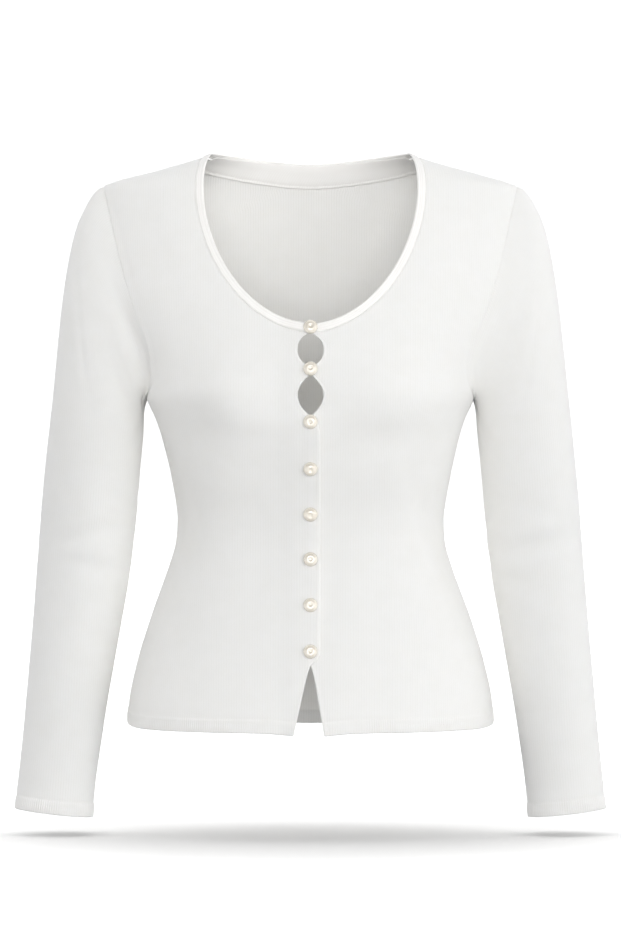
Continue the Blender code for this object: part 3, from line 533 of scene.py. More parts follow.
def front_edge(height, slit_slope):
    """How far across the button edge of a front lies."""
    edge = np.full_like(height, -LAP)
    for hole in EYE_HOLES:
        from_middle = np.abs(height - hole.height) / hole.half_height
        edge = smooth_max(edge, HOLE_HALF_WIDTH * (1 - from_middle**hole.roundness))
    below = SLIT_TOP - height
    opened = SLIT_ROUND * (1 - np.exp(-np.maximum(below, 0) / SLIT_ROUND_LENGTH))
    slit = np.where(below > 0, opened + slit_slope * below, below)
    return smooth_max(edge, slit)


def hem_height(girth):
    return read_table(HEM, "girth", "height", girth)


bust_girth = 2 * sum(np.interp(BUST_HEIGHT, HEIGHTS, length) for _, length in QUARTERS.values())
print(f"Girth at the bust about {bust_girth:.0f} mm, shoulders {2 * ARMHOLE[0].front:.0f} mm across")

# %% [markdown]
# ## Creases
#
# A fitted knit hugs the body, so it has few folds: soft troughs where the cloth is too long for the
# waist, drag lines from the bust, and short creases inside each elbow. Each is one row of a table, with
# a place, a direction, a length, a width and a depth. No two are alike, and the hidden sides have their
# own. A fold is a trough with a low ridge on each side, because cloth that goes in must come out nearby.

# %% Fold tables
BODY_FOLD = "across height slope half_length half_width depth"
RIGHT_FOLDS = table(
    "Fold", BODY_FOLD,
    (114, -300, -0.1, 68, 25, 7.5), (106, -352, -0.2, 40, 10, 1.8), (82, -266, 4, 46, 28, 5),
    (58, -330, 0.25, 50, 26, 1.4), (118, -438, 0.12, 52, 15, 1), (52, -420, -0.12, 48, 16, 0.7),
    (124, -132, 0.3, 46, 12, 0.6), (148, -86, 0.2, 38, 12, 0.7),
)
LEFT_FOLDS = table(
    "Fold", BODY_FOLD,
    (114, -360, -0.36, 62, 11, 2.6), (66, -266, 5, 40, 25, 5.4), (94, -292, 0.55, 40, 16, 1.8),
    (124, -418, -0.14, 46, 13, 1), (60, -430, 0.1, 54, 16, 0.7), (120, -138, 0.34, 44, 12, 0.6),
    (150, -92, 0.16, 40, 12, 0.8),
)
BACK_FOLDS = table(
    "Fold", BODY_FOLD,
    (88, -338, -0.3, 58, 12, 2.4), (62, -352, 0.1, 44, 12, 1.6), (30, -330, -0.05, 50, 13, 0.9),
    (-34, -344, 0.08, 56, 12, 1.2), (-78, -330, 0.26, 60, 12, 2), (116, -168, 0.6, 38, 10, 1.4),
    (-112, -176, -0.52, 40, 10, 1.5), (104, -430, 0.1, 50, 15, 1), (-96, -446, -0.16, 46, 14, 0.9),
)
ARM_FOLD = "turn height rise half_turn half_width depth"
RIGHT_ARM_FOLDS = table(
    "Fold", ARM_FOLD,
    (100, -352, 9, 52, 8, 2.4), (112, -384, -6, 44, 8, 2), (66, -188, -60, 20, 9, 1.8),
    (262, -366, -5, 50, 9, 1.6), (150, -330, 12, 40, 7, 1.5), (84, -416, 10, 34, 9, 1),
    (128, -452, -12, 40, 10, 0.8), (96, -140, -52, 22, 8, 1.2), (150, -262, 26, 30, 8, 1.1),
    (300, -330, 10, 44, 9, 1), (236, -246, -24, 30, 9, 1.2), (90, -548, 8, 40, 9, 0.6),
)
LEFT_ARM_FOLDS = table(
    "Fold", ARM_FOLD,
    (96, -364, -8, 46, 9, 3), (120, -398, 8, 40, 8, 1.8), (70, -176, -50, 18, 9, 1.4),
    (258, -372, 6, 50, 9, 1.8), (146, -338, -10, 38, 7, 1.4), (82, -330, 8, 30, 8, 0.9),
    (118, -446, 12, 40, 10, 0.9), (100, -132, -46, 20, 8, 1), (150, -258, 24, 30, 8, 1.2),
    (296, -338, -8, 44, 9, 1.1), (232, -252, 22, 30, 9, 1.1), (88, -556, -7, 40, 9, 0.6),
)
WAVE_LENGTHS = (26.0, 34.0, 47.0, 61.0, 83.0, 120.0)
WAVE_HEIGHT, WAVES_TOGETHER = 0.3, 2.4
WAVE_ANGLE = 0.6  # the waves run across, up to this many radians up or down
WAVE_SWAY, SWAY_LENGTH = 0.7, 55.0
RIDGE_REACH = 1.6  # how far out a fold's side ridges reach
WELT_WIDTH, WELT_STEP, WELT_EDGE = 13.0, 0.45, 1.6
WELT_LINE, WELT_LINE_WIDTH = 0.35, 1.3
TUCK_DEPTH, TUCK_WIDTH = 0.9, 2.4


# %% Folds and small unevenness
def trough(over):
    """A trough with a low ridge on each side, against the distance from its middle line."""
    return (1 - over**2) * np.exp(-(over**2) / RIDGE_REACH)


def body_folds(points, folds):
    move = np.zeros(points.shape[:-1])
    for fold in folds:
        tilt = math.atan(fold.slope)
        x, z = points[..., 0] - fold.across, points[..., 2] - fold.height
        along = z * math.cos(tilt) + x * math.sin(tilt)
        over = x * math.cos(tilt) - z * math.sin(tilt)
        move -= fold.depth * trough(over / fold.half_width) * bell(along, 0.0, fold.half_length)
    return move


def arm_folds(turn, height, folds):
    move = np.zeros_like(height)
    for fold in folds:
        away = (turn * 360.0 - fold.turn + 180.0) % 360.0 - 180.0
        over = (height - fold.height - fold.rise * away / fold.half_turn) / fold.half_width
        move -= fold.depth * trough(over) * bell(away, 0.0, fold.half_turn)
    return move


def waviness(u, v, seed):
    """Cloth is never quite flat: six slow waves, each in a direction of its own."""
    rng = np.random.default_rng(seed)
    total = np.zeros(np.broadcast(u, v).shape)
    for length in WAVE_LENGTHS:
        angle, phase = rng.uniform(-WAVE_ANGLE, WAVE_ANGLE), rng.uniform(0.0, 2 * math.pi)
        way = (u * math.cos(angle) + v * math.sin(angle) * 0.6) * 2 * math.pi / length
        sway = WAVE_SWAY * np.sin(v / SWAY_LENGTH + phase)
        total += np.sin(way + phase + sway) * (length / WAVE_LENGTHS[-1]) ** 0.6
    return WAVE_HEIGHT * total / WAVES_TOGETHER


def edge_ridge(distance, height, width):
    """A rolled edge or a seam stands up, and fades out this far from its line."""
    return height * (1 - smooth_step(distance / width))


def tucked(distance, depth=TUCK_DEPTH, width=TUCK_WIDTH):
    """The last millimetres before a seam turn inwards, so that two pieces meet in a groove."""
    return edge_ridge(distance, -depth, width)


def welt(above_edge):
    """The welt is knitted double, so it stands up a little, with a shallow line along its top."""
    inside = smooth_step((WELT_WIDTH - above_edge) / WELT_EDGE)
    return WELT_STEP * inside - WELT_LINE * bell(above_edge, WELT_WIDTH, WELT_LINE_WIDTH)


def lap_lift(across):
    """How far the wearer's right front stands off to lie over the left one."""
    return edge_ridge(across - FRONT_LAP_FLAT, FRONT_LAP_LIFT, FRONT_LAP_FADE - FRONT_LAP_FLAT)


# %% [markdown]
# ## From a grid of points to a knitted shell
#
# Each piece starts as a grid of points on its outer face. `shell` makes the faces, stores the UV map,
# and adds two modifiers: Solidify for the thickness of the cloth, and one level of subdivision, which
# rounds the edges as knit rounds. The evaluated result becomes the piece's plain mesh.

# %% Shells
CLOTH = 1.7  # the shells' thickness, a little under the CAD wall, so that the layers stay apart
WELD_REACH = 0.01
Grid = namedtuple("Grid", "points uv side flipped")


def new_object(name, data):
    obj = bpy.data.objects.new(name, data)
    bpy.context.scene.collection.objects.link(obj)
    return obj


def evaluated_mesh(obj):
    """The mesh that an object has after its modifiers."""
    graph = bpy.context.evaluated_depsgraph_get()
    return bpy.data.meshes.new_from_object(
        obj.evaluated_get(graph), preserve_all_data_layers=True, depsgraph=graph
    )


def modify(obj, kind, **settings):
    made = obj.modifiers.new(kind.title(), kind)
    for name, value in settings.items():
        setattr(made, name, value)


def bake(obj):
    """Replaces an object's mesh by its evaluated one and takes its modifiers away."""
    made = evaluated_mesh(obj)
    obj.modifiers.clear()
    old, obj.data = obj.data, made
    bpy.data.meshes.remove(old)
    made.name = obj.name


def keep(obj, slot, *nodes):
    """Attaches a finished piece to its body and hides the CAD solids that it stands for. The slot, its
    finish, is not used.
    """
    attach(obj, BODY)
    if nodes:
        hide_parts(*nodes)
    print(f"{obj.name}: {len(obj.data.polygons)} faces")


def shell(name, node, grids, finish=jersey, thickness=CLOTH):
    """A cloth piece from grids of outer points in millimetres, joined where their edges meet."""
    points, faces, uv = [], [], []
    for grid in grids:
        rows, columns = grid.points.shape[:2]
        first = sum(len(p) for p in points)
        points.append(grid.points.reshape(-1, 3) * (grid.side, 1.0, 1.0))
        r, c = np.mgrid[: rows - 1, : grid.uv.shape[1] - 1]
        at = [(r, c), (r + 1, c), (r + 1, c + 1), (r, c + 1)][:: -1 if grid.flipped else 1]
        face = np.stack([first + i * columns + j % columns for i, j in at], axis=-1)
        faces += face.reshape(-1, 4).tolist()
        uv.append(np.stack([grid.uv[i, j] for i, j in at], axis=2).reshape(-1, 2))
    mesh = bpy.data.meshes.new(name)
    mesh.from_pydata((np.concatenate(points) * MM).tolist(), [], faces)
    mesh.uv_layers.new(name=KNIT_UV).data.foreach_set("uv", (np.concatenate(uv) * MM).ravel())
    mesh.materials.append(finish)
    mesh.shade_smooth()
    obj = new_object(name, mesh)
    if len(grids) > 1:
        modify(obj, "WELD", merge_threshold=WELD_REACH * MM)
    modify(obj, "SOLIDIFY", thickness=thickness * MM, offset=-1.0)
    modify(obj, "SUBSURF", levels=1, render_levels=1, uv_smooth="NONE")
    bake(obj)
    keep(obj, "knit", node)
    return obj


def knit_uv(*columns):
    return np.stack(np.broadcast_arrays(*columns), axis=-1)


def way_down(points):
    """How far each point is from the first of its column."""
    step = np.linalg.norm(np.diff(points, axis=0), axis=-1)
    return np.concatenate([np.zeros((1, points.shape[1])), np.cumsum(step, axis=0)])


def along_rows(points):
    """How far each point is from the first and from the last point of its row."""
    run = way_down(points.swapaxes(0, 1)).T
    return run, run[:, -1:] - run


def cloth_area(obj):
    """The area of one face of a closed shell, in square metres."""
    return sum(face.area for face in obj.data.polygons) / 2


# %% [markdown]
# ## The body panels
#
# A half panel is a grid with its rows from the centre to the side. The upper rows end on the armhole, the
# lower ones on the side seam. The columns are close together where the form turns fast: at the rolled
# button edge, at the lap, and beside the armhole seam.

# %% Panel grids
ARMHOLE_ROWS = 33
BEND_ROWS, BEND = (15, 28), 1.4
LAST = np.array([11.0, 7.5, 5.0, 3.2, 1.6, 0.0])  # from the last columns to the armhole or side seam
SEAM_OVERLAP = 0.003  # of the girth: the panels reach this far into the seam, past each other
ROW_GAP, ROWS_LOWERED = 0.6, 14
FOLD_FADE = 30.0  # no crease crosses a side seam, or the two panels would part
ARMHOLE_LIFT, ARMHOLE_WIDTH, ARMHOLE_LINE_WIDTH = 0.95, 7.5, 1.8
FIRST_APART, LAST_APART = 0.6, 1.2  # of an even step: the closest that the placed columns may come
SHOULDER_COLUMN = 20  # the way down from the shoulder seam is measured along this one
UV_ACROSS, UV_UP = 500.0, 700.0
HEM_ROWS = np.array([14.0, 13.0, 11.6, 9.0, 5.0, 1.6, 0.0])  # above the hem, closer round the welt's top
Panel = namedtuple("Panel", "girth height form normal row from_start from_side out")


def apart(girth, height):
    """Lowers the row that ends at the underarm, and those below it less and less, so that no row
    crosses the one above it."""
    last = ARMHOLE_ROWS - 1
    way = np.sign(girth[last, -1] - girth[last, 0])
    above = np.interp(way * girth[last], way * girth[last - 1], height[last - 1]) - ROW_GAP
    ends = np.sin(np.pi * np.linspace(0.0, 1.0, girth.shape[1])) ** 0.3
    lower = np.maximum(height[last] - above, 0.0) * ends
    for r in range(ROWS_LOWERED):
        height[last + r] -= lower * (1 - r / ROWS_LOWERED)
    return height


def panel_grid(neck_line, part, edge_girth, edge_rows, columns):
    """The girth and height of each point of a half panel."""
    neck_across, neck_height = neck_line
    arm_across, arm_height = armhole(np.linspace(0.0, 1.0, ARMHOLE_ROWS), part)
    left = np.concatenate([girth_of(neck_across, neck_height, part), edge_girth])
    left_height = np.concatenate([neck_height, edge_rows])
    start = left_height[ARMHOLE_ROWS - 1]
    down = (left_height[ARMHOLE_ROWS:] - start) / (edge_rows[-1] - start)
    seam = 1.0 + (SEAM_OVERLAP if part == "front" else -SEAM_OVERLAP)
    right = np.concatenate([girth_of(arm_across, arm_height, part), np.full_like(down, seam)])
    side_hem = hem_height(np.array(1.0))
    right_height = np.concatenate([arm_height, UNDERARM + (side_hem - UNDERARM) * down])
    across = np.linspace(0.0, 1.0, columns)
    girth = left[:, None] * (1 - across) + right[:, None] * across
    bend = 1.0 + BEND * smooth_step((np.arange(len(left)) - BEND_ROWS[0]) / np.ptp(BEND_ROWS))
    drop = 1.0 - (1.0 - across) ** bend[:, None]
    height = left_height[:, None] * (1 - drop) + right_height[:, None] * drop
    hem_fade = smooth_step(1 - (height - height[-1]) / HEM_FADE)
    height = height + hem_fade * (hem_height(girth) - height[-1])
    keep_side = np.minimum if part == "front" else np.maximum
    return keep_side(girth, seam), apart(girth, height)


def place_columns(girth, height, first):
    """Moves the columns to these distances from each row's first point, and to LAST from its last."""
    run, _ = along_rows(on_form(girth, height))
    count = girth.shape[1]
    spread = np.linspace(0.0, 1.0, count)
    least = np.arange(len(first)) * FIRST_APART / count
    most = np.arange(len(LAST))[::-1] * LAST_APART / count
    placed = []
    for r, length in enumerate(run[:, -1]):
        begin = np.maximum(np.array(first) / length, least)
        end = 1.0 - np.minimum(LAST / length, most)
        even = np.linspace(begin[-1], end[0], count - len(first) - len(LAST) + 2)[1:-1]
        share = np.interp(np.concatenate([begin, even, end]), run[r] / length, spread)
        placed.append([np.interp(share, spread, girth[r]), np.interp(share, spread, height[r])])
    return np.array(placed).swapaxes(0, 1)


def half_panel(neck_line, part, edge_girth, edge_rows, columns, first, arm_line):
    """A half panel on the form, and how far its seams and its welt move it out."""
    girth, height = panel_grid(neck_line, part, edge_girth, edge_rows, columns)
    girth, height = place_columns(girth, height, first)
    form, normal = on_form(girth, height), form_normal(girth, height)
    from_start, from_side = along_rows(form)
    row = np.arange(len(girth))[:, None]
    arm = edge_ridge(from_side, ARMHOLE_LIFT, ARMHOLE_WIDTH)
    arm -= arm_line * bell(from_side, ARMHOLE_WIDTH, ARMHOLE_LINE_WIDTH)
    out = np.where(row < ARMHOLE_ROWS, arm, tucked(from_side))
    out += tucked(way_down(form)[:, SHOULDER_COLUMN, None]) * (row < ARMHOLE_ROWS)
    out += welt(height - hem_height(girth))
    return Panel(girth, height, form, normal, row, from_start, from_side, out)


def panel_side(panel, side, folds, seed, more=0.0):
    """One side of a panel with its folds and waves: its points, and the UVs of its knit."""
    round_way = around(panel.girth, panel.height)
    move = body_folds(panel.form * (side, 1.0, 1.0), folds) * smooth_step(panel.from_side / FOLD_FADE)
    move += panel.out + more + waviness(side * round_way, panel.height, seed)
    uv = knit_uv(UV_ACROSS + side * round_way * np.sign(panel.girth), UV_UP + panel.height)
    return panel.form + panel.normal * move[..., None], uv


# %% [markdown]
# A front has four kinds of edge. The button edge is a fine roll. The neck edge goes under the binding.
# The armhole edge stands up along the seam, because the seam allowance inside presses it out. The side
# seam turns in. Last comes the welt at the hem.

# %% The two fronts
EDGE_ROLL, EDGE_ROLL_WIDTH = 0.75, 2.6
ROLL_LINE, ROLL_LINE_FROM_EDGE, ROLL_LINE_WIDTH = 0.25, 3.3, 0.8
FRONT_ARMHOLE_LINE = 0.3
FRONT_COLUMNS = 44
FRONT_FIRST = [0.0, 0.9, 1.8, 2.8, 4.4, 7.5, 11.5, 16.0, 21.0, 27.0, 33.0]
NECK_MARGIN = BAND_WIDTH - 1.0  # a panel's neck edge lies this far outside the finished one


def front_rows():
    """The heights of a front's rows along its button edge, closer where the edge turns."""
    slit_round = np.array([9.0, 6.0, 3.5, 1.5, 0.0])
    hem = hem_height(np.array(0.0)) + HEM_ROWS
    return np.concatenate([
        np.linspace(NECK_BOTTOM - NECK_MARGIN, BELT_TOP, 41)[1:],
        np.linspace(BELT_TOP, SLIT_TOP + 12.0, 25)[1:],
        SLIT_TOP + slit_round,
        SLIT_TOP - slit_round[-2::-1],
        np.linspace(SLIT_TOP - 9.0, hem[1] + 3.0, 7)[1:],
        hem,
    ])


def front(name, node, side, folds, seed):
    rows = front_rows()
    edge = girth_of(front_edge(rows, SLIT_SLOPES[side]), rows, "front")
    neck_line = front_neck(np.linspace(0.0, 1.0, ARMHOLE_ROWS), NECK_MARGIN)
    panel = half_panel(neck_line, "front", edge, rows, FRONT_COLUMNS, FRONT_FIRST, FRONT_ARMHOLE_LINE)
    from_edge = panel.from_start
    roll = edge_ridge(from_edge, EDGE_ROLL, EDGE_ROLL_WIDTH)
    roll -= ROLL_LINE * bell(from_edge, ROLL_LINE_FROM_EDGE, ROLL_LINE_WIDTH)
    if side > 0:  # underneath, where the right front lies on it, the edge is flat
        roll = roll * smooth_step(panel.form[:, :1, 0] / LAP + 1.0)
    more = np.where(panel.row < ARMHOLE_ROWS, tucked(from_edge), roll)
    if side < 0:
        more += lap_lift(panel.form[..., 0])
    points, uv = panel_side(panel, 1, folds, seed, more)
    return shell(name, node, [Grid(points, uv, side, side < 0)])


front_right = front("Right_front", "front_right", -1, RIGHT_FOLDS, 3)
front_left = front("Left_front", "front_left", 1, LEFT_FOLDS, 8)
print(f"A front has {cloth_area(front_left):.4f} square metres of cloth")

# %% [markdown]
# The back is one panel, so its grid is a half joined to its mirror image. Its folds aren't mirrored:
# each side has its own, as a body that stands a little unevenly would give it.

# %% The back
BACK_COLUMNS = 34
BACK_FIRST = [0.0, 8.0]
BACK_NECK_STEPS = 13
BACK_BLADE_END = -214.0


def back(name, node, seed):
    neck_line = back_neck(np.linspace(0.0, 1.0, BACK_NECK_STEPS + 1), NECK_MARGIN)
    blade = np.linspace(neck_line[1][-1], BACK_BLADE_END, ARMHOLE_ROWS - BACK_NECK_STEPS)[1:]
    hem = hem_height(np.array(2.0)) + HEM_ROWS
    rows = np.concatenate([blade, np.linspace(BACK_BLADE_END, hem[1] + 3.0, 38)[1:], hem])
    edge = np.full_like(rows, 2.0)
    panel = half_panel(neck_line, "back", edge, rows, BACK_COLUMNS, BACK_FIRST, 0.0)
    neck = np.where(panel.row <= BACK_NECK_STEPS, tucked(panel.from_start), 0.0)
    grids = []
    for side in (1, -1):
        points, uv = panel_side(panel, side, BACK_FOLDS, seed, neck)
        points[BACK_NECK_STEPS:, 0, 0] = 0.0
        grids.append(Grid(points, uv, side, side > 0))
    return shell(name, node, grids)


back_panel = back("Back_panel", "back", 21)
print(f"The back has {cloth_area(back_panel):.4f} square metres of cloth")

# %% [markdown]
# ## The sleeves
#
# A set-in sleeve is cut with a rounded head and sewn into the armhole. Its rings start as the armhole's
# own outline and turn into plain ovals along the arm. Its first millimetres go under the panels' raised
# seam, which leaves the dark line that every set-in sleeve shows. The sleeve's own seam runs along the
# inside of the arm, so the knit's UVs start and end there.

# %% Sleeve rings
SLEEVE_SIDES = 56
UNDERARM_TURN = 0.5
SEAM_TUCK = 1.3
HEAD_TUCK, HEAD_TUCK_WIDTH = 1.1, 3.4
ARM_SEAM, ARM_SEAM_WIDTH = 0.7, 1.2
FOLDS_START, FOLDS_WHOLE_AFTER = 2.0, 3.0  # counted in rings
HEAD_STEPS = [0.0, 0.12, 0.25, 0.4, 0.6, 0.85, 1.15]
ARM_STEPS = np.linspace(1.5, 18.1, 84)
CUFF_STEPS = [18.35, 18.6, 18.66, 18.69, 18.73, 18.8, 18.9, 18.97, 19.0]


def arm_oval(turn, step):
    """A point of a plain oval ring. Turn 0 is outside, a quarter is in front, a half is inside."""
    count = np.arange(len(SLEEVE_RINGS))
    outer, inner, depth, forward = (smooth_curve(count, ring, step) for ring in zip(*SLEEVE_RINGS))
    outer_across = read_table(SLEEVE_OUTER, "height", "across", outer)
    inner_across = read_table(SLEEVE_INNER, "height", "across", inner)
    angle = 2 * math.pi * turn
    x = (outer_across + inner_across) / 2 + (outer_across - inner_across) / 2 * np.cos(angle)
    z = (outer + inner) / 2 + (outer - inner) / 2 * np.cos(angle)
    return np.stack([x, -forward - depth * np.sin(angle), z], axis=-1)


def armhole_seam(turn):
    """The armhole seam all the way round: its points and the directions away from the body."""
    way = np.where(turn <= UNDERARM_TURN, 2 * turn, 2 - 2 * turn)
    girths = (girth_of(*armhole(way, part), part) for part in QUARTERS)
    girth, height = np.where(turn <= UNDERARM_TURN, *girths), armhole(way, "front")[1]
    seam = on_form(girth, height)
    along = np.roll(seam, -1, axis=0) - np.roll(seam, 1, axis=0)
    return seam, unit(np.cross(form_normal(girth, height), along))


# %% The two sleeves
CUFFS = {}  # the middle line of each cuff's welt and its outward directions, for its ribs
RIB_MIDDLE = 6.4
VALLEY_TURN, VALLEY_HALF_TURN = 0.37, 0.12  # in front, towards the underarm
VALLEY_FROM_SEAM, VALLEY_HALF_WIDTH, VALLEY_WHOLE_AFTER = 14.0, 11.0, 4.0


def sleeve(name, node, side, folds, valley, seed):
    turn = (UNDERARM_TURN + np.arange(SLEEVE_SIDES) / SLEEVE_SIDES) % 1.0
    turns, steps = np.meshgrid(turn, np.concatenate([HEAD_STEPS, ARM_STEPS, CUFF_STEPS]))
    seam, away = armhole_seam(turn)
    moved = seam - away * SEAM_TUCK - arm_oval(turn, np.zeros(SLEEVE_SIDES))
    points = arm_oval(turns, steps) + moved * (1 - smooth_step(steps / SLEEVE_HEAD))[..., None]
    across = np.roll(points, -1, axis=1) - np.roll(points, 1, axis=1)
    normal = unit(np.cross(across, np.gradient(points, axis=0)))
    down = way_down(points)
    to_cuff = down[-1] - down
    ring, ring_left = along_rows(np.concatenate([points, points[:, :1]], axis=1))
    from_seam = np.minimum(ring, ring_left)[:, :-1]
    creased = smooth_step((steps - FOLDS_START) / FOLDS_WHOLE_AFTER)
    out = arm_folds(turns, points[..., 2], folds) * creased
    below_seam = bell(turns, VALLEY_TURN, VALLEY_HALF_TURN) * smooth_step(down / VALLEY_WHOLE_AFTER)
    out -= valley * bell(down, VALLEY_FROM_SEAM, VALLEY_HALF_WIDTH) * below_seam
    out += waviness(ring[:, :-1], to_cuff, seed) * smooth_step(steps / FOLDS_WHOLE_AFTER)
    out += tucked(down, HEAD_TUCK, HEAD_TUCK_WIDTH) + welt(to_cuff)
    out -= ARM_SEAM * bell(from_seam, 0.0, ARM_SEAM_WIDTH) * smooth_step(steps)
    uv = knit_uv(
        UV_ACROSS + ring - ring[:, SLEEVE_SIDES // 2, None],
        np.concatenate([to_cuff, to_cuff[:, :1]], axis=1),
    )
    rib = np.argmin(np.abs(to_cuff[:, 0] - RIB_MIDDLE))
    share = ((RIB_MIDDLE - to_cuff[rib + 1]) / (to_cuff[rib] - to_cuff[rib + 1]))[:, None]
    at_rib = [part[rib] * share + part[rib + 1] * (1 - share) for part in (points, normal)]
    CUFFS[side] = [np.concatenate([part, part[:1]]) for part in at_rib]
    return shell(name, node, [Grid(points + normal * out[..., None], uv, side, side > 0)])


sleeve_right = sleeve("Right_sleeve", "sleeve_right", -1, RIGHT_ARM_FOLDS, 7.0, 34)
sleeve_left = sleeve("Left_sleeve", "sleeve_left", 1, LEFT_ARM_FOLDS, 3.0, 55)
print(f"A sleeve has {cloth_area(sleeve_left):.4f} square metres of cloth")

# %% [markdown]
# ## The neck
#
# The binding is a narrow strip of the same knit, linked on along its length and folded over the raw
# neck edge. That gives it a round finished edge, a shallow furrow beside it, and a soft flat band. Inside
# the back neck lies the facing: a plain strip that covers the seam and takes the hanger's wear.

# %% Binding
BAND_MARGINS = [0.0, 0.35, 0.9, 1.6, 2.2, 2.7, 3.4, 4.6, 6.0, 7.2, 8.0]
BAND_OUT = [-0.45, 0.4, 0.95, 1.05, 0.9, 0.72, 0.78, 0.85, 0.85, 0.6, -0.15]
BAND_THICKNESS = 1.5
NECK_WIDE_ROWS = 44
LAP_POINTS = 2  # the binding's first points, on the lap past the centre front
LOWER_HALF_SHIFT = 0.3  # the lower half rises this share of the fade before the upper one settles


def half_neck(margin):
    """Girths and heights along half of the neck, from the centre front to the centre back."""
    across, height = front_neck(np.linspace(1.0, 0.0, NECK_WIDE_ROWS)[:-1], margin)
    across = np.concatenate([[-BAND_LAP, -BAND_LAP / LAP_POINTS], across])
    height = np.concatenate([[height[0]] * LAP_POINTS, height])
    back_across, back_height = back_neck(np.linspace(0.0, 1.0, BACK_NECK_STEPS + 1), margin)
    girth = [girth_of(across, height, "front"), girth_of(back_across, back_height, "back")]
    return np.concatenate(girth), np.concatenate([height, back_height])


def on_cloth(girth, height, out, side=1):
    """Points of the form, moved out, and their outward directions."""
    normal, flip = form_normal(girth, height), (side, 1.0, 1.0)
    return (on_form(girth, height) + normal * np.asarray(out)[..., None]) * flip, normal * flip


def neck_lap(side, girth, height):
    """At the neck's front: how far the upper half stands off, and how flat the lower half is."""
    in_front = (girth < 1.0) & (height < NECK_WIDEST)
    across = on_form(girth, height)[:, 0]
    if side < 0:
        return np.where(in_front, lap_lift(across), 0.0), 1.0
    fade = (across - FRONT_LAP_FLAT) / (FRONT_LAP_FADE - FRONT_LAP_FLAT)
    return 0.0, smooth_step(np.maximum(fade + LOWER_HALF_SHIFT, ~in_front))


def neck_strip(side):
    """The outer points of half the binding."""
    strip = []
    for margin, crown in zip(BAND_MARGINS, BAND_OUT):
        girth, height = half_neck(margin)
        lift, flat = neck_lap(side, girth, height)
        strip.append(on_cloth(girth, height, crown * flat + lift, side)[0])
    return np.stack(strip, axis=1)


neck_points = np.concatenate([neck_strip(-1)[:-1], neck_strip(1)[::-1]])
neck_run = way_down(neck_points)
neck_grid = Grid(neck_points, knit_uv(UV_ACROSS + np.array(BAND_MARGINS), neck_run), 1, False)
neckband = shell("Neck_binding", "neckband", [neck_grid], binding, BAND_THICKNESS)

# %% Back neck facing
FACING_MARGINS = [0.6, 3.0, 6.0, 8.6, 12.0, 15.5, 18.0, 18.8, 19.6, 20.6, 21.3, 21.5]
FACING_RELIEF = [0.0, 0.0, 0.1, -0.15, 0.0, 0.1, 0.05, -0.25, 0.15, 0.35, 0.15, -0.4]
FACING_DEPTH, FACING_THICKNESS = 3.8, 0.9  # how far inside the form its seen face lies
FACING_FIRST, FACING_ROWS = 1 / 6, 44
PUCKER, PUCKER_PITCH = 0.16, 5.2
PUCKER_FROM, PUCKER_FADE = 15.0, 4.0


def facing_line(margin, relief):
    """The facing's seen face along the back neck, from the wearer's right to the left."""
    across, height = back_neck(np.linspace(FACING_FIRST, 1.0, FACING_ROWS), margin)
    fade = smooth_step((margin - PUCKER_FROM) / PUCKER_FADE)
    pucker = PUCKER * np.sin(across * 2 * math.pi / PUCKER_PITCH) * fade
    inside = FACING_DEPTH + relief + pucker
    half, _ = on_cloth(girth_of(across, height, "back"), height, -inside)
    half[-1, 0] = 0.0
    return np.concatenate([half[:-1] * (-1.0, 1.0, 1.0), half[::-1]])


facing_points = np.stack([*map(facing_line, FACING_MARGINS, FACING_RELIEF)], axis=1)
facing_run = way_down(facing_points)
facing_grid = Grid(facing_points, knit_uv(facing_run, FACING_MARGINS), 1, True)
facing = shell("Back_neck_facing", "neck_facing", [facing_grid], paler_painted_jersey, FACING_THICKNESS)
print(f"The facing is {float(facing_run[-1, -1]):.0f} mm long on its lower edge")

# %% [markdown]
# ## Stitches and ribs
#
# Some details repeat along a line: the stitches that hold the facing, the linking round the neck, and
# the fine ribs of the welts. One Geometry Nodes tree makes them all. It takes a line that carries the
# cloth's outward direction, spaces points on it, and sets one small arched strand on each. Its sizes
# are inputs, so the same tree makes a 2 mm stitch along a line or a 12 mm rib across it.

# %% Parts of a tree
OUTWARD = "outward"
MARK_SIZES = dict.fromkeys(["Pitch", "Length", "Width", "Arch", "Turn", "Unevenness"], "Float")


def new_tree(name, **inputs):
    """An empty tree with geometry in and out, and the outputs of its input node."""
    tree = bpy.data.node_groups.new(name, "GeometryNodeTree")
    for socket, kind in {"Geometry": "Geometry", **inputs, "Seed": "Int"}.items():
        tree.interface.new_socket(socket, in_out="INPUT", socket_type=f"NodeSocket{kind}")
    tree.interface.new_socket("Geometry", in_out="OUTPUT", socket_type="NodeSocketGeometry")
    return tree, add(tree, "NodeGroupInput")


def vector(tree, *parts):
    links = {i: part for i, part in enumerate(parts) if part is not None}
    return add(tree, "ShaderNodeCombineXYZ", links)[0]


def upright(tree):
    """The rotation that stands a thing up along the cloth's outward direction."""
    carried = {"Name": OUTWARD}
    outward = add(tree, "GeometryNodeInputNamedAttribute", carried, data_type="FLOAT_VECTOR")[0]
    return add(tree, "FunctionNodeAlignRotationToVector", {"Vector": outward}, axis="Z")[0]


def set_on_points(tree, links, finish):
    """Ends a tree: one instance on each point, made real and given its finish."""
    placed = add(tree, "GeometryNodeInstanceOnPoints", links)[0]
    real = add(tree, "GeometryNodeRealizeInstances", {"Geometry": placed})[0]
    dressed = add(tree, "GeometryNodeSetMaterial", {"Geometry": real, "Material": finish})[0]
    add(tree, "NodeGroupOutput", {"Geometry": dressed})
    return tree


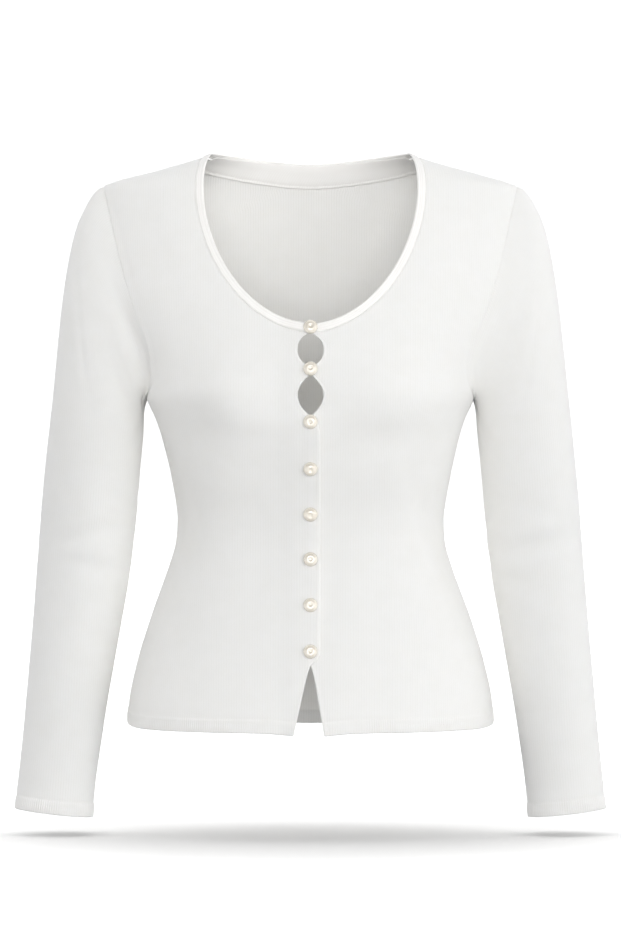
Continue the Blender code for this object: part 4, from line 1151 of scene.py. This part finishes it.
# %% A tree for marks along a line
def marks_tree(name, finish):
    tree, given = new_tree(name, **MARK_SIZES)
    # One strand: an arch from end to end, its ends sunk into the cloth by half its width
    start, end = (maths(tree, "MULTIPLY", given["Length"], share) for share in (-0.5, 0.5))
    sink, radius = (maths(tree, "MULTIPLY", given["Width"], share) for share in (-0.5, 0.5))
    ends = {"Start": vector(tree, start, None, sink), "End": vector(tree, end, None, sink)}
    bend = {"Resolution": 7, "Middle": vector(tree, None, None, given["Arch"])} | ends
    arch = add(tree, "GeometryNodeCurveQuadraticBezier", bend)[0]
    section = add(tree, "GeometryNodeCurvePrimitiveCircle", {"Resolution": 6, "Radius": radius})[0]
    swept = {"Curve": arch, "Profile Curve": section, "Fill Caps": True}
    strand = add(tree, "GeometryNodeCurveToMesh", swept)[0]
    turned = {"Geometry": strand, "Rotation": vector(tree, None, None, given["Turn"])}
    smooth = {"Geometry": add(tree, "GeometryNodeTransform", turned)[0]}
    # The points: one every pitch, turned along the line and out of the cloth
    line = add(tree, "GeometryNodeMeshToCurve", {"Mesh": given["Geometry"]})[0]
    spaced = {"Curve": line, "Length": given["Pitch"]}
    along = {"Rotation": upright(tree), "Vector": add(tree, "GeometryNodeInputTangent")[0]}
    least, most = (maths(tree, how, 1.0, given["Unevenness"]) for how in ("SUBTRACT", "ADD"))
    sizes = {"Min": vector(tree, *3 * [least]), "Max": vector(tree, *3 * [most]), "Seed": given["Seed"]}
    links = {
        "Points": add(tree, "GeometryNodeResampleCurve", spaced, mode="LENGTH")[0],
        "Instance": add(tree, "GeometryNodeSetShadeSmooth", smooth)[0],
        "Rotation": add(tree, "FunctionNodeAlignRotationToVector", along, axis="X", pivot_axis="Z")[0],
        "Scale": add(tree, "FunctionNodeRandomValue", sizes, data_type="FLOAT_VECTOR")[0],
    }
    return set_on_points(tree, links, finish)


def carrier(name, lines, joined=True):
    """A mesh of points that carry outward directions, joined into open lines or loose."""
    points, outward = (np.concatenate(part) for part in zip(*lines))
    edges, first = [], 0
    for line, _ in lines:
        edges += [(first + i, first + i + 1) for i in range(len(line) - 1)]
        first += len(line)
    mesh = bpy.data.meshes.new(name)
    mesh.from_pydata((points * MM).tolist(), edges if joined else [], [])
    mesh.attributes.new(OUTWARD, "FLOAT_VECTOR", "POINT").data.foreach_set("vector", outward.ravel())
    return mesh


def through_tree(name, mesh, tree, **inputs):
    """An object whose mesh is what the tree makes of this one, with its inputs set first."""
    obj = new_object(name, mesh)
    made = obj.modifiers.new("Repeats", "NODES")
    made.node_group = tree
    sockets = {s.name: s.identifier for s in tree.interface.items_tree if s.in_out == "INPUT"}
    for socket, value in inputs.items():
        made[sockets[socket]] = value
    bake(obj)
    obj.data.shade_smooth()
    return obj


def marks(name, lines, tree, sizes, turn, unevenness, seed):
    """Marks along lines. Their sizes are pitch, length, width and arch in millimetres."""
    inputs = dict(zip(MARK_SIZES, [size * MM for size in sizes]))
    inputs |= {"Turn": turn, "Unevenness": unevenness, "Seed": seed}
    keep(through_tree(name, carrier(name.lower(), lines), tree, **inputs), "knit")


thread_marks = marks_tree("Marks along a line", thread)
rib_marks = marks_tree("Ribs along a line", paler_painted_jersey)

# %% [markdown]
# The linking stitches lie in the furrow where the binding meets the panels. The facing's stitches show
# as short dashes a little above its lower edge. Each kind of mark is one row of numbers: its pitch,
# length, width and arch, the turn of its strand in radians, its unevenness and its random seed.

# %% Sewn lines
LINK = ((2.1, 1.7, 0.32, 0.3), 0.35, 0.12, 4)
LINK_MARGIN, LINK_OUT = 2.45, 0.42
STITCH = ((3.4, 2.5, 0.4, 0.3), 0.06, 0.15, 9)
STITCH_MARGIN, STITCH_NEXT, STITCH_OUT = 18.8, 18.0, 0.05


def link_line(side):
    """Half of the line of linking. Its left half starts where the right front ends."""
    girth, height = (values[LAP_POINTS:] for values in half_neck(LINK_MARGIN))
    if side > 0:
        shown = on_form(girth, height)[:, 0] > LAP
        girth, height = girth[shown], height[shown]
    lift, _ = neck_lap(side, girth, height)
    return on_cloth(girth, height, LINK_OUT + lift + np.zeros_like(girth), side)


link_lines = [link_line(-1), link_line(1)]
marks("Neck_linking", link_lines, thread_marks, *LINK)

rows = [FACING_MARGINS.index(margin) for margin in (STITCH_MARGIN, STITCH_NEXT)]
stitches, above = (facing_points[:, row] for row in rows)
facing_out = unit(np.cross(np.gradient(stitches, axis=0), above - stitches))
facing_out *= np.where(facing_out[:, 1:2] > 0, -1.0, 1.0)
stitch_line = (stitches + facing_out * STITCH_OUT, facing_out)
marks("Facing_stitches", [stitch_line], thread_marks, *STITCH)

# %% [markdown]
# The welts are knitted in a fine rib, which keeps the hem and the cuffs from curling. Each rib is a low
# rounded bar across the welt.

# %% Ribbed welts
RIB = ((2.1, 12.2, 1.15, 0.3), math.pi / 2, 0.05, 12)
RIB_SUNK = 0.3
RIB_OUT = WELT_STEP - RIB_SUNK
HEM_POINTS = 90
RIB_FROM_EDGE = 1.4
SIDE_SEAM_GAP = 0.01  # of the girth


def hem_line(start, end, side):
    """A line along the middle of the hem's welt, from one girth to another."""
    girth = np.linspace(start, end, HEM_POINTS)
    return on_cloth(girth, hem_height(girth) + RIB_MIDDLE, np.full_like(girth, RIB_OUT), side)


hem_lines = []
for side in (-1, 1):
    low = hem_height(np.array([0.0])) + RIB_MIDDLE
    corner = girth_of(front_edge(low, SLIT_SLOPES[side]) + RIB_FROM_EDGE, low, "front")[0]
    hem_lines.append(hem_line(corner, 1.0 - SIDE_SEAM_GAP, side))
    hem_lines.append(hem_line(1.0 + SIDE_SEAM_GAP, 2.0, side))
marks("Hem_ribs", hem_lines, rib_marks, *RIB)

cuff_lines = []
for side, (points, outward) in CUFFS.items():
    cuff_lines.append([part * (side, 1.0, 1.0) for part in (points + outward * RIB_OUT, outward)])
marks("Cuff_ribs", cuff_lines, rib_marks, *RIB)

# %% [markdown]
# ## The buttons
#
# A pearl button is a moulded ball, flattened at the back, with a dimple in its top where the mould was
# gated. It is turned from a short profile here. A second tree sets one on each of eight points, and turns
# each a little about its own axis, so that no two clouds of lacquer look the same.

# %% Pearls
BUTTON_RADIUS = 6.75
PEARL_PROFILE = [
    (0.0, 0.555), (0.1, 0.56), (0.19, 0.585), (0.28, 0.64), (0.38, 0.672), (0.52, 0.65), (0.68, 0.572),
    (0.82, 0.452), (0.93, 0.3), (0.985, 0.16), (0.975, 0.07), (0.93, 0.02), (0.8, 0.0), (0.0, 0.0),
]
PEARL_SIDES = 48
PEARL_ABOVE_CLOTH = 1.2
PEARL_CLEAR = FRONT_LAP_LIFT + PEARL_ABOVE_CLOTH
LATHE_WELD = 0.01


def lathe(name, profile, size, sides, finish):
    """Turns a profile of (radius, height) pairs round the Z axis."""
    mesh = bpy.data.meshes.new(name)
    points = [(r * size * MM, 0.0, z * size * MM) for r, z in profile]
    mesh.from_pydata(points, [(i, i + 1) for i in range(len(points) - 1)], [])
    obj = new_object(name, mesh)
    weld = {"use_merge_vertices": True, "merge_threshold": LATHE_WELD * MM}
    modify(obj, "SCREW", steps=sides, render_steps=sides, **weld)
    modify(obj, "SUBSURF", levels=1, render_levels=1)
    bake(obj)
    obj.data.materials.append(finish)
    obj.data.shade_smooth()
    return obj


def placing_tree(finish):
    """Sets one object on each point, its axis outward, each turned by a random angle."""
    tree, given = new_tree("One on each point", What="Object", Unevenness="Float")
    what = add(tree, "GeometryNodeObjectInfo", {"Object": given["What"], "As Instance": True})

    def between(least, most):
        links = {2: least, 3: most, "Seed": given["Seed"]}
        return add(tree, "FunctionNodeRandomValue", links, data_type="FLOAT")[1]

    spin = {"Axis": (0.0, 0.0, 1.0), "Angle": between(0.0, 2 * math.pi)}
    spin = add(tree, "FunctionNodeAxisAngleToRotation", spin)[0]
    turned = {"Rotation": upright(tree), "Rotate By": spin}
    links = {
        "Points": given["Geometry"],
        "Instance": what["Geometry"],
        "Rotation": add(tree, "FunctionNodeRotateRotation", turned, rotation_space="LOCAL")[0],
        "Scale": between(maths(tree, "SUBTRACT", 1.0, given["Unevenness"]), 1.0),
    }
    return set_on_points(tree, links, finish)


def on_buttons(name, thing, finish, unevenness, seed, *kept):
    """Sets one thing on each button's place, and takes the single one away."""
    centre, out = np.zeros_like(BUTTON_HEIGHTS), np.full_like(BUTTON_HEIGHTS, PEARL_CLEAR)
    mesh = carrier(name.lower(), [on_cloth(centre, BUTTON_HEIGHTS, out)], joined=False)
    inputs = {"What": thing, "Unevenness": unevenness, "Seed": seed}
    made = through_tree(name, mesh, placing_tree(finish), **inputs)
    bpy.data.objects.remove(thing)
    keep(made, *kept)


one_pearl = lathe("One pearl", PEARL_PROFILE, BUTTON_RADIUS, PEARL_SIDES, pearl)
button_nodes = [f"button_{i}" for i in range(1, 9)]
on_buttons("Pearl_buttons", one_pearl, pearl, 0.02, 5, "pearl", *button_nodes)

# %% [markdown]
# Under each button the thread is wound into a short shank, so that the cloth has room below it.

# %% Thread shanks
SHANK_TURNS, TURN_POINTS = 4, 12
SHANK_RADIUS, SHANK_HEIGHT = 1.5, 1.3
SHANK_THREAD = 0.2


def winding(name):
    """A short spiral of thread round the Z axis, hanging down from the origin."""
    curve = bpy.data.curves.new(name, "CURVE")
    curve.dimensions = "3D"
    curve.bevel_depth = SHANK_THREAD * MM
    curve.bevel_resolution = 1
    spline = curve.splines.new("POLY")
    spline.points.add(SHANK_TURNS * TURN_POINTS)
    for point, share in zip(spline.points, np.linspace(0.0, 1.0, len(spline.points))):
        angle = 2 * math.pi * SHANK_TURNS * share
        x, y = SHANK_RADIUS * math.cos(angle), SHANK_RADIUS * math.sin(angle)
        point.co = (x * MM, y * MM, -SHANK_HEIGHT * share * MM, 1.0)
    obj = new_object(name, curve)
    mesh = evaluated_mesh(obj)
    bpy.data.objects.remove(obj)
    return new_object(name, mesh)


on_buttons("Button_shanks", winding("One winding"), thread, 0.05, 6, "knit")

# %% [markdown]
# ## Sheets
#
# The cloth areas that are printed above come from the shells themselves.

# %% [markdown]
# ## Stage, light and camera
#
# A white garment wants a bright room and a little contrast. The wall behind is lit to plain white, which
# also brightens the garment's outer edges. The floor glows too, except close to the garment, where it
# takes the soft shadows. It is seen, but it throws no light up: that would fill the shade under the folds.

# %% Stage
FLOOR_BELOW = 0.016
FLOOR_HALF = 30.0
FLOOR_GLOW, GLOW_NEAR = 0.8, 0.12
GLOW_STARTS, GLOW_WHOLE = 0.2, 0.6  # metres from the garment's middle
GLOW_FRONT = (-1.1, -0.6)  # how far in front the glow ends and where it is whole again


def floor_links(tree):
    spot = own_place(tree)
    away = add(tree, "ShaderNodeVectorMath", {0: spot}, operation="LENGTH")["Value"]
    glow = ramp(tree, away, GLOW_STARTS, GLOW_WHOLE, GLOW_NEAR, FLOOR_GLOW, "SMOOTHSTEP")
    depth = add(tree, "ShaderNodeSeparateXYZ", {0: spot})["Y"]
    behind = ramp(tree, depth, *GLOW_FRONT, kind="SMOOTHSTEP")
    return {
        "Base Color": mix(tree, noise(tree, 3.0), "#FFFFFF", "#FDFDFD"),
        "Roughness": 0.9,
        "Specular IOR Level": 0.0,
        "Emission Color": linear("#FFFFFF"),
        "Emission Strength": maths(tree, "MULTIPLY", glow, behind),
    }


floor_mesh = bpy.data.meshes.new("Floor")
corners = [(x * FLOOR_HALF, y * FLOOR_HALF, 0.0) for x, y in ((-1, -1), (1, -1), (1, 1), (-1, 1))]
floor_mesh.from_pydata(corners, [], [(0, 1, 2, 3)])
floor_mesh.materials.append(new_material("White studio floor", floor_links))
floor = new_object("Floor", floor_mesh)
floor.location.z = cad_box[0][2] - FLOOR_BELOW
floor.visible_diffuse = False

# %% [markdown]
# A row of light panels runs around the front of the room at the garment's own height, and it is stronger
# on the right. Light that comes level leaves shade under each fold, and the stronger side shapes the body.
# One big soft lamp hangs just over the camera. It reaches the places that the panels don't: the front
# edges, the binding and the inside of the back.

# %% Room light
WALL_BEHIND = 1.2
PANELS_LEFT, PANELS_RIGHT = 1.2, 2.9
world = bpy.data.worlds.new("White room")
bpy.context.scene.world = world
world.use_nodes = True
room = world.node_tree
direction = add(room, "ShaderNodeSeparateXYZ", {0: add(room, "ShaderNodeTexCoord")[0]})


def fades(axis, start, end):
    """0 on one side of the room and 1 on the other, with a soft change between two directions."""
    return ramp(room, direction[axis], start, end, kind="SMOOTHSTEP")


level = maths(room, "MULTIPLY", fades("Z", 0.5, 0.1), fades("Z", -0.5, 0.0))
to_right = fades("X", -0.6, 0.6)
panels = maths(room, "MULTIPLY_ADD", to_right, PANELS_RIGHT - PANELS_LEFT, PANELS_LEFT)
in_front = maths(room, "MULTIPLY", level, panels)
wall = maths(room, "MULTIPLY", fades("Z", -0.8, -0.2), WALL_BEHIND)
strength = add(room, "ShaderNodeMix", {0: fades("Y", -0.5, 0.1), 2: in_front, 3: wall})[0]
light = {"Strength": strength, "Color": linear("#FFFFFF")}
fill_inputs(room, room.nodes["Background"], light)
bpy.context.scene.view_settings.view_transform = "Standard"

# %% Lamp
LAMP_SIZE, LAMP_ENERGY = 1.4, 31.0
LAMP_AWAY, LAMP_UP = 3.0, math.radians(5.0)
GARMENT_MIDDLE = -0.3
lamp_data = bpy.data.lights.new("Lamp over the camera", "AREA")
lamp_data.shape = "DISK"
lamp_data.size = LAMP_SIZE
lamp_data.energy = LAMP_ENERGY
lamp = new_object("Lamp over the camera", lamp_data)
lamp_height = GARMENT_MIDDLE + LAMP_AWAY * math.sin(LAMP_UP)
lamp.location = (0.0, -LAMP_AWAY * math.cos(LAMP_UP), lamp_height)
lamp.rotation_euler.x = math.pi / 2 - LAMP_UP

# %% [markdown]
# The camera stands 4 m in front, level with the middle of the garment, with a long lens. That keeps the
# proportions as the eye sees them from across a room.

# %% Camera
CAMERA_AWAY = 4.0
CAMERA_HEIGHT = -0.2897
VIEW_HEIGHT = 0.86583
SENSOR = 36.0
camera_data = bpy.data.cameras.new("Camera")
camera_data.sensor_fit = "VERTICAL"
camera_data.sensor_height = SENSOR
camera_data.lens = SENSOR * CAMERA_AWAY / VIEW_HEIGHT
camera = new_object("Camera", camera_data)
camera.location = (0.0, -CAMERA_AWAY, CAMERA_HEIGHT)
camera.rotation_euler = (math.pi / 2, 0.0, 0.0)
bpy.context.scene.camera = camera
